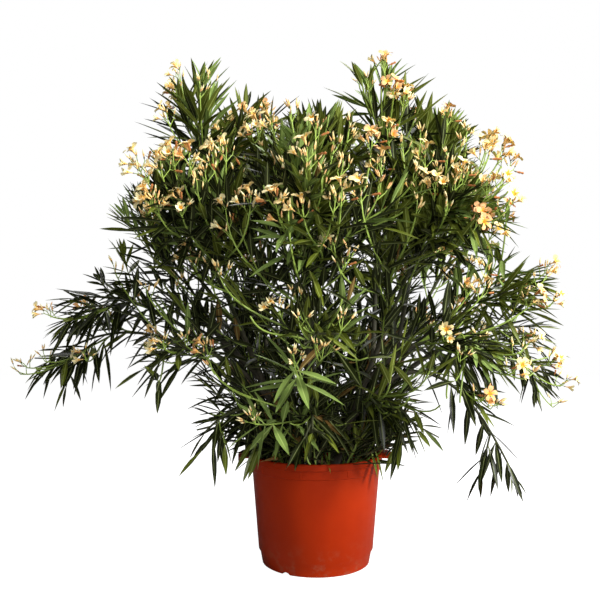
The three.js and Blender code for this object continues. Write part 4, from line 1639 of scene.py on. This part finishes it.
class OLEANDER_OT_stage(bpy.types.Operator):
    """Adds the floor, the lights and the camera"""

    bl_idname = "oleander.stage"
    bl_label = "Stage"

    def execute(self, context):
        settings = context.scene.oleander_stage
        self.add_floor(settings)
        self.add_sky(context, settings)
        for name, (place, aim, size, share) in LIGHTS.items():
            add_light(name, place, (0, 0, aim), size, settings.key_power * share)
        camera_data = bpy.data.cameras.new("camera")
        camera_data.lens = settings.lens
        camera_data.sensor_width = 36
        camera_data.shift_y = settings.rise
        camera = bpy.data.objects.new("camera", camera_data)
        context.scene.collection.objects.link(camera)
        camera.location = Vector(EYE) * MM
        camera.rotation_euler = (math.pi / 2, 0, 0)
        context.scene.camera = camera
        context.scene.view_settings.view_transform = "Standard"
        return {"FINISHED"}

    def add_floor(self, settings):
        """Lays a sheet of white paper, which glows a little where it is looked at."""
        deselect_everything()
        bpy.ops.mesh.primitive_plane_add(size=settings.floor_size, location=(0, 0, 0))
        floor = bpy.context.object
        floor.name = "floor"
        paper = Finish("studio_paper")
        fibres = paper.noise(3, 3)
        seen = paper.add("ShaderNodeLightPath", output="Is Camera Ray")
        paper.surface(
            base_color=paper.mix(fibres * 0.04, (0.4, 0.4, 0.4, 1), (0.36, 0.36, 0.36, 1)),
            roughness=0.9,
            emission_color=paper.mix(seen, BLACK, colour([settings.floor_glow] * 3)),
            emission_strength=1,
        )
        dress(floor, paper.material)

    def add_sky(self, context, settings):
        """Makes the studio white where it is looked at, and dim where it lights the shrub."""
        world = bpy.data.worlds.new("studio")
        context.scene.world = world
        world.use_nodes = True
        studio = Nodes(world.node_tree)
        background = studio.tree.nodes["Background"]
        seen = studio.add("ShaderNodeLightPath", output="Is Camera Ray")
        studio.set(background.inputs["Color"], WHITE)
        studio.set(background.inputs["Strength"], studio.ranged(seen, 0, 1, settings.sky, 1))


def add_light(name, place, target, size, power):
    data = bpy.data.lights.new(name, "AREA")
    data.size = size
    data.energy = power
    light = bpy.data.objects.new(name, data)
    bpy.context.scene.collection.objects.link(light)
    light.location = place
    light.rotation_euler = (Vector(target) - Vector(place)).to_track_quat("-Z", "Y").to_euler()


class OLEANDER_OT_pot(bpy.types.Operator):
    """Models the pot: a turned wall with foot, band and lip, two lifting lugs, ribs and drain notches"""

    bl_idname = "oleander.pot"
    bl_label = "Pot"

    def execute(self, context):
        settings = context.scene.oleander_pot
        deselect_everything()
        lip_foot = POT_HEIGHT - POT_LIP_HEIGHT
        band_foot = lip_foot - POT_BAND_HEIGHT
        lug_top = POT_HEIGHT - 1.5
        step_foot = POT_FOOT_HEIGHT - 6
        outer = [
            (POT_BASE_RADIUS - 2, 0),
            (POT_BASE_RADIUS, 1.2),
            (pot_radius(step_foot), step_foot),
            (pot_radius(POT_FOOT_HEIGHT), POT_FOOT_HEIGHT),
            (pot_radius(band_foot), band_foot),
            (pot_radius(band_foot + 1.5) + POT_BAND_STEP, band_foot + 1.5),
            (pot_radius(lip_foot) + POT_BAND_STEP, lip_foot),
            (POT_LIP_RADIUS, lip_foot + 1.5),
            (POT_LIP_RADIUS, lug_top - LUG_THICKNESS),
            (POT_LIP_RADIUS, lug_top),
            (POT_LIP_RADIUS - 1, POT_HEIGHT),
        ]
        inner = [
            (pot_radius(POT_HEIGHT) - POT_WALL, POT_HEIGHT),
            (pot_radius(POT_HEIGHT - 20) - POT_WALL, POT_HEIGHT - 20),
            (pot_radius(POT_FOOT_HEIGHT) - POT_WALL, POT_FOOT_HEIGHT),
            (pot_radius(POT_WALL) - POT_WALL, POT_WALL),
        ]
        profile = outer + inner
        bpy.ops.mesh.primitive_circle_add(vertices=settings.sides, radius=profile[0][0] * MM,
                                          fill_type="NGON", location=(0, 0, 0))
        pot = context.object
        pot.name = "pot_shell"
        bpy.ops.object.mode_set(mode="EDIT")
        bpy.ops.mesh.select_mode(type="FACE")
        bpy.ops.mesh.select_all(action="SELECT")
        extrude_through(profile)
        bpy.ops.mesh.select_all(action="SELECT")
        bpy.ops.mesh.normals_make_consistent(inside=False)
        for azimuth in (0, 180):
            self.add_lug(pot, azimuth, lug_top)
        spacing = 360 / settings.rib_count
        for i in range(settings.rib_count):
            self.add_rib(pot, RIB_FIRST_ANGLE + i * spacing, band_foot, lip_foot, settings)
        bpy.ops.object.mode_set(mode="OBJECT")
        for azimuth in DRAIN_ANGLES:
            self.cut_drain(pot, azimuth)
        apply_modifier(pot, "BEVEL", width=settings.edge, segments=2, limit_method="ANGLE",
                       angle_limit=math.radians(32))
        smooth(pot, 34)
        dress(pot, pot_plastic(settings))
        ride_as(pot, "pot", "pot")
        return {"FINISHED"}

    def add_lug(self, pot, azimuth, top):
        """Draws a flat lug out of the lip and turns its edge down."""
        low, high = (top - LUG_THICKNESS) * MM, top * MM

        def on_lip(centre, normal):
            level = math.hypot(centre.x, centre.y)
            return (low < centre.z < high and level > (POT_LIP_RADIUS - 1) * MM
                    and degrees_apart(azimuth_of(centre), azimuth) < LUG_HALF_ANGLE)

        select_faces(pot, on_lip)
        radius = POT_LIP_RADIUS
        for further in (LUG_RADIUS - LUG_THICKNESS, LUG_RADIUS):
            bpy.ops.mesh.extrude_region_move()
            ratio = further / radius
            bpy.ops.transform.resize(value=(ratio, ratio, 1), center_override=(0, 0, 0))
            radius = further

        def under_edge(centre, normal):
            level = math.hypot(centre.x, centre.y)
            return (normal.z < -0.9 and level > (LUG_RADIUS - LUG_THICKNESS) * MM and centre.z > 0.2
                    and degrees_apart(azimuth_of(centre), azimuth) < LUG_HALF_ANGLE + 1)

        select_faces(pot, under_edge)
        drop = (LUG_DROP - LUG_THICKNESS) * MM
        bpy.ops.mesh.extrude_region_move(TRANSFORM_OT_translate={"value": (0, 0, -drop)})

    def add_rib(self, pot, azimuth, low, high, settings):
        """Raises a narrow rib on the stacking band."""

        def on_band(centre, normal):
            level = math.hypot(centre.x, centre.y)
            return (level > (POT_NECK_RADIUS - 5) * MM and (low + 2) * MM < centre.z < high * MM
                    and abs(normal.z) < 0.5 and normal.dot(Vector((centre.x, centre.y, 0))) > 0
                    and degrees_apart(azimuth_of(centre), azimuth) < 180 / settings.sides)

        select_faces(pot, on_band)
        bpy.ops.mesh.inset(thickness=RIB_MARGIN * MM, depth=0)
        bpy.ops.mesh.inset(thickness=RIB_SLOPE * MM, depth=settings.rib_depth)

    def cut_drain(self, pot, azimuth):
        """Cuts an arched notch through the bottom of the foot."""
        deselect_everything()
        turn = math.radians(azimuth)
        place = (math.cos(turn) * POT_BASE_RADIUS * MM, math.sin(turn) * POT_BASE_RADIUS * MM, 0)
        bpy.ops.mesh.primitive_cylinder_add(vertices=32, radius=DRAIN_WIDTH / 2 * MM, depth=0.03,
                                            location=place, rotation=(math.pi / 2, 0, turn + math.pi / 2))
        cutter = bpy.context.object
        bpy.ops.object.transform_apply(location=True, rotation=True, scale=True)
        bpy.ops.object.mode_set(mode="EDIT")
        bpy.ops.transform.resize(value=(1, 1, DRAIN_HEIGHT / (DRAIN_WIDTH / 2)), center_override=(0, 0, 0))
        bpy.ops.object.mode_set(mode="OBJECT")
        apply_modifier(pot, "BOOLEAN", object=cutter, operation="DIFFERENCE", solver="EXACT")
        bpy.data.objects.remove(cutter)


def pot_radius(height):
    """The pot's outer radius at a height, below the stacking band."""
    if height < POT_FOOT_HEIGHT:
        return POT_BASE_RADIUS + (height / POT_FOOT_HEIGHT) * POT_FOOT_FLARE
    share = (height - POT_FOOT_HEIGHT) / (POT_HEIGHT - POT_FOOT_HEIGHT)
    return lerp(POT_BASE_RADIUS + POT_FOOT_FLARE + POT_FOOT_STEP, POT_NECK_RADIUS, share)


class OLEANDER_OT_soil(bpy.types.Operator):
    """Models the soil, with grit, chips of bark and fallen leaves on it"""

    bl_idname = "oleander.soil"
    bl_label = "Soil"

    def execute(self, context):
        settings = context.scene.oleander_pot
        foliage = context.scene.oleander_foliage
        deselect_everything()
        room = POT_WALL + SOIL_GAP
        top_radius = pot_radius(SOIL_TOP) - room - POT_FOOT_STEP
        profile = [
            (pot_radius(POT_WALL) - room - 1, POT_WALL + SOIL_GAP),
            (pot_radius(POT_FOOT_HEIGHT) - room - POT_FOOT_STEP, POT_FOOT_HEIGHT),
            (top_radius, SOIL_TOP - SOIL_SHOULDER),
        ]
        for i in range(1, SOIL_RINGS):
            share = i / SOIL_RINGS
            radius = top_radius * (1 - share)
            fall = SOIL_SHOULDER * max(0, (radius - SOIL_FLAT_RADIUS) / (top_radius - SOIL_FLAT_RADIUS))
            profile.append((radius, SOIL_TOP - 1 - fall * 0.8))
        bpy.ops.mesh.primitive_circle_add(vertices=120, radius=profile[0][0] * MM, fill_type="NGON",
                                          location=(0, 0, profile[0][1] * MM))
        soil = context.object
        soil.name = "soil_surface"
        bpy.ops.object.transform_apply(location=True, rotation=False, scale=False)
        bpy.ops.object.mode_set(mode="EDIT")
        bpy.ops.mesh.select_mode(type="FACE")
        bpy.ops.mesh.select_all(action="SELECT")
        extrude_through(profile)
        bpy.ops.mesh.select_all(action="SELECT")
        bpy.ops.mesh.normals_make_consistent(inside=False)
        bpy.ops.object.mode_set(mode="OBJECT")
        top = soil.vertex_groups.new(name="top")
        inside = [v.index for v in soil.data.vertices if v.co.z > (SOIL_TOP - 7) * MM
                  and math.hypot(v.co.x, v.co.y) < (top_radius - 3) * MM]
        top.add(inside, 1.0, "REPLACE")
        for size, depth in SOIL_LUMPS:
            lumps = bpy.data.textures.new("lumps", "CLOUDS")
            lumps.noise_scale = size
            lumps.noise_depth = 3
            apply_modifier(soil, "DISPLACE", texture=lumps, texture_coords="LOCAL", direction="Z",
                           strength=settings.soil_relief * depth, mid_level=0.62, vertex_group="top")
        smooth(soil, 50)
        dress(soil, peat(settings))
        ride_as(soil, "soil", "soil")
        roll = dice(91)
        self.strew_crumbs(roll)
        self.strew_leaves(roll, foliage)
        return {"FINISHED"}

    def strew_crumbs(self, roll):
        """Strews grit and chips of bark over the soil."""
        for name, count, small, large, flat, finish in CRUMBS:
            build = Build()
            for _ in range(count):
                radius = CRUMBS_RADIUS * math.sqrt(roll())
                turn = roll() * 2 * math.pi
                fall = SOIL_SHOULDER * max(0, (radius - SOIL_FLAT_RADIUS) / 45)
                height = SOIL_TOP - CRUMBS_SUNK - fall
                centre = np.array((radius * math.cos(turn), radius * math.sin(turn), height))
                size = lerp(small, large, roll())
                pebble(build, centre, size, flat, roll)
            ride_as(build.finish(name, [mottled(*finish)], 30), "soil", "soil")

    def strew_leaves(self, roll, foliage):
        """Strews fallen leaves over the soil, each short enough to stay inside the pot."""
        rows = []
        for _ in range(LITTER_COUNT):
            radius, turn = LITTER_RADIUS * math.sqrt(roll()), roll() * 360
            root = point_at(turn, 0, radius)
            direction = unit(point_at(roll() * 360, 0, 1) - SOIL_CENTRE + UP * LITTER_RISE * roll())
            length = lerp(*LITTER_LENGTHS, roll())
            while np.hypot(*(root + direction * length)[:2]) > LITTER_REACH and length > LITTER_SHORTEST:
                length *= 0.8
            turn, twist = LITTER_TURN * (roll() - 0.5), LITTER_TWIST * (roll() - 0.5)
            rows.append((*root, *direction, length, LITTER_SAG, turn, twist, TONES.index("faded"), 0, 0))
        litter = Build()
        template = leaf_template()
        rows = np.array(rows)
        rows[:, 2] += LITTER_HEIGHT
        litter.add_copies(place_leaves(rows, template, foliage.leaf_width / MM / 2), template)
        dry = mottled("dry_leaf", (0.16, 0.085, 0.035), (0.27, 0.16, 0.07), 160, 0.8, 0.0004)
        ride_as(litter.finish("fallen_leaves", [dry, dry, dry], 40), "foliage", "soil")


def pebble(build, centre, size, flat, roll):
    """A small irregular crumb with eight faces."""
    corners = np.array(((1, 0, 0), (0, 1, 0), (-1, 0, 0), (0, -1, 0), (0, 0, flat), (0, 0, -flat)), float)
    turn = roll() * math.pi
    stretch = lerp(0.5, 1, roll())
    for i in range(len(corners)):
        corners[i] *= size * lerp(0.75, 1.2, roll())
    corners[:, 1] *= stretch
    corners = spun(corners, turn, 0, 1)
    tilt = (roll() - 0.5) * 1.2
    corners[:, 2] += corners[:, 0] * math.sin(tilt) * 0.6
    faces = [(i, (i + 1) % 4, 4) for i in range(4)] + [((i + 1) % 4, i, 5) for i in range(4)]
    build.add(centre + corners, (), faces)


class OLEANDER_OT_limbs(bpy.types.Operator):
    """Grows the stems and boughs with the relief of their bark"""

    bl_idname = "oleander.limbs"
    bl_label = "Stems and boughs"

    def execute(self, context):
        settings = context.scene.oleander_foliage
        build = Build()
        sides = 14
        for mass in shrub(context)["masses"]:
            if mass.kind == "skirt":
                continue
            is_stem = mass.kind == "shoulder"
            count = 110 if is_stem else 84
            t = (mass.bare + 0.01) * np.linspace(0, 1, count) ** (1.25 if is_stem else 1)
            points = mass.point(t)
            if is_stem:
                points[:, 2] = np.maximum(points[:, 2], SOIL_TOP - 6)
            kept = np.concatenate(((True,), np.linalg.norm(np.diff(points, axis=0), axis=1) > 0.8))
            points, t = points[kept], t[kept]
            radii = np.array([mass.limb_radius(share) for share in t]) * 0.96
            bumps = bark_relief(points, sides, mass.seed)
            tube(build, points, radii, sides, bumps=bumps)
        limbs = build.finish("limbs", [bark_finish(settings)], 60)
        ride_as(limbs, "bark", *nodes_named("stem_", "bough_"))
        return {"FINISHED"}


def bark_relief(points, sides, seed):
    """How much each point of a limb stands out: long ridges, corky bumps and the scars of old whorls."""
    walked = np.concatenate(((0,), np.cumsum(np.linalg.norm(np.diff(points, axis=0), axis=1))))
    bumps = np.empty((len(points), sides))
    for i, distance in enumerate(walked):
        scar = max(0, 1 - abs((distance + seed * 7) % 27 - 13.5) / 3.2)
        for k in range(sides):
            turn = k * 2 * math.pi / sides
            around = Vector((math.cos(turn), math.sin(turn), seed))
            ridge = noise.noise(Vector((around.x * 2.2, around.y * 2.2, distance * 0.02 + seed)))
            cork = noise.noise(Vector((around.x * 3.5 + 9, around.y * 3.5, distance * 0.14 + seed)))
            third = 1 if (k * 3 // sides + seed) % 2 else 0.3
            bumps[i, k] = 1 + 0.1 * ridge + 0.09 * cork + 0.07 * scar * third
    return bumps


class OLEANDER_OT_twigs(bpy.types.Operator):
    """Grows the twigs and fresh shoots of every mass, and the stalks of the flower heads"""

    bl_idname = "oleander.twigs"
    bl_label = "Twigs"

    def execute(self, context):
        settings = context.scene.oleander_foliage
        plan = shrub(context)
        woody, fresh, stalks = Build(), Build(), Build()
        for shoot in plan["shoots"]:
            build = woody if shoot.rank < 2 and not (shoot.rank and shoot.head) else fresh
            radii = np.linspace(*shoot.radii, len(shoot.points))
            tube(build, shoot.points, radii, 6 if shoot.rank < 2 else 5)
        for points, radii in plan["cymes"].stalks:
            tube(stalks, points, np.linspace(*radii, len(points)), 4)
        wood = plain("woody_twig", settings.twig_colour, 0.7, 0.3)
        green = plain("fresh_shoot", [c * 0.75 for c in settings.shoot_colour], 0.5, 0.4)
        stalk = plain("flower_stalk", settings.shoot_colour, 0.5, 0.4)
        foliage = nodes_named("foliage_")
        for build, name, material in ((woody, "twigs", wood), (fresh, "shoots", green),
                                      (stalks, "flower_stalks", stalk)):
            ride_as(build.finish(name, [material], 60), "foliage", *foliage)
        return {"FINISHED"}


MOST_TRIANGLES = 190000


class OLEANDER_OT_leaves(bpy.types.Operator):
    """Grows the leaves, joined by their green, some of them painted lit and shaded greens"""

    bl_idname = "oleander.leaves"
    bl_label = "Leaves"

    def execute(self, context):
        settings = context.scene.oleander_foliage
        rows = shrub(context)["leaves"]
        template = leaf_template()
        foliage = nodes_named("foliage_")
        triangles = 2 * len(template["quads"]) + len(template["triangles"])
        most = MOST_TRIANGLES // triangles
        for tone, name in enumerate(TONES):
            mine = rows[rows[:, TONE] == tone]
            upper, under, rib = leaf_finishes(name, getattr(settings, f"{name}_colour"))
            for part, start in enumerate(range(0, len(mine), most)):
                build = Build()
                some = mine[start:start + most]
                build.add_copies(place_leaves(some, template, settings.leaf_width / MM / 2), template)
                piece = build.finish(f"leaves_{name}_{part + 1}", [upper, rib, under], 50)
                ride_as(piece, "foliage", *foliage)
        return {"FINISHED"}


def leaf_finishes(name, base):
    """A glossy upper face, a paler matt underside and a pale rib, made paler in part as painted sheen."""
    pale = np.array((0.3, 0.34, 0.13))
    base = np.array(base)
    upper = plain(f"{name}_leaf", base, 0.33, 0.3)
    under = plain(f"{name}_leaf_underside", base * 0.8 + pale * 0.035, 0.62, 0.1)
    # The rib is the leaf's own pale midrib, lifted further as painted sheen.
    rib = plain(f"{name}_leaf_rib", base * 1.1 + pale * 0.46, 0.5, 0.2)
    return upper, under, rib


# Across the open flower that the templates make, in metres.
FLOWER_DIAMETER = 0.044


class OLEANDER_OT_blossom(bpy.types.Operator):
    """Grows the open flowers, half-open flowers, buds and withered flowers"""

    bl_idname = "oleander.blossom"
    bl_label = "Blossom"

    def execute(self, context):
        settings = context.scene.oleander_blossom
        items = shrub(context)["cymes"].items
        foliage = nodes_named("foliage_")
        scale = settings.flower_diameter / FLOWER_DIAMETER
        petals = [plain(f"petal_{name}", getattr(settings, f"{name}_petal"), 0.55, 0.3)
                  for name in ("pale", "apricot", "peach")]
        throat = plain("flower_throat", settings.throat, 0.55, 0.3)
        outside = plain("flower_tube", settings.flower_tube, 0.55, 0.3)
        calyx = plain("calyx", settings.calyx, 0.6, 0.3)
        spent = plain("withered_petal", settings.spent, 0.8, 0.2)
        templates = {"open": flower_template(0.0), "cupped": cupped_template(), "bud": bud_template()}
        for kind, template in templates.items():
            build = Build()
            for tint in range(len(petals)):
                mine = [item for item in items[kind] if item[4] == tint]
                tinted = dict(template)
                for key in ("quad_kinds", "triangle_kinds"):
                    tinted[key] = np.where(template[key] == 0, tint, template[key] + len(petals) - 1)
                build.add_copies(place_items(mine, template, scale), tinted)
            piece = build.finish(f"flowers_{kind}", [*petals, throat, outside, calyx], 60)
            ride_as(piece, "foliage", *foliage)
        build = Build()
        template = spent_template()
        build.add_copies(place_items(items["spent"], template, scale), template)
        piece = build.finish("flowers_spent", [spent, spent, spent, calyx], 60)
        ride_as(piece, "foliage", *foliage)
        return {"FINISHED"}


class OLEANDER_PT_panel(bpy.types.Panel):
    """Lists the pieces and their settings"""

    bl_idname = "OLEANDER_PT_panel"
    bl_label = "Potted Oleander"
    bl_space_type = "VIEW_3D"
    bl_region_type = "UI"
    bl_category = "Oleander"

    def draw(self, context):
        column = self.layout.column(align=True)
        for operator in OPERATORS:
            column.operator(operator.bl_idname)
        for key, group in SETTINGS.items():
            box = self.layout.box()
            for name in group.__annotations__:
                box.prop(getattr(context.scene, key), name)


SETTINGS = {
    "oleander_stage": OleanderStageSettings,
    "oleander_pot": OleanderPotSettings,
    "oleander_foliage": OleanderFoliageSettings,
    "oleander_blossom": OleanderBlossomSettings,
}
OPERATORS = (
    OLEANDER_OT_stage,
    OLEANDER_OT_pot,
    OLEANDER_OT_soil,
    OLEANDER_OT_limbs,
    OLEANDER_OT_twigs,
    OLEANDER_OT_leaves,
    OLEANDER_OT_blossom,
)


def register():
    for cls in (*SETTINGS.values(), *OPERATORS, OLEANDER_PT_panel):
        bpy.utils.register_class(cls)
    for key, group in SETTINGS.items():
        setattr(bpy.types.Scene, key, PointerProperty(type=group))


def unregister():
    for key in SETTINGS:
        delattr(bpy.types.Scene, key)
    for cls in reversed((*SETTINGS.values(), *OPERATORS, OLEANDER_PT_panel)):
        bpy.utils.unregister_class(cls)


def main():
    register()
    bpy.ops.oleander.stage()
    bpy.ops.oleander.pot()
    bpy.ops.oleander.soil()
    bpy.ops.oleander.limbs()
    bpy.ops.oleander.twigs()
    bpy.ops.oleander.leaves()
    bpy.ops.oleander.blossom()


if __name__ == "__main__":
    main()
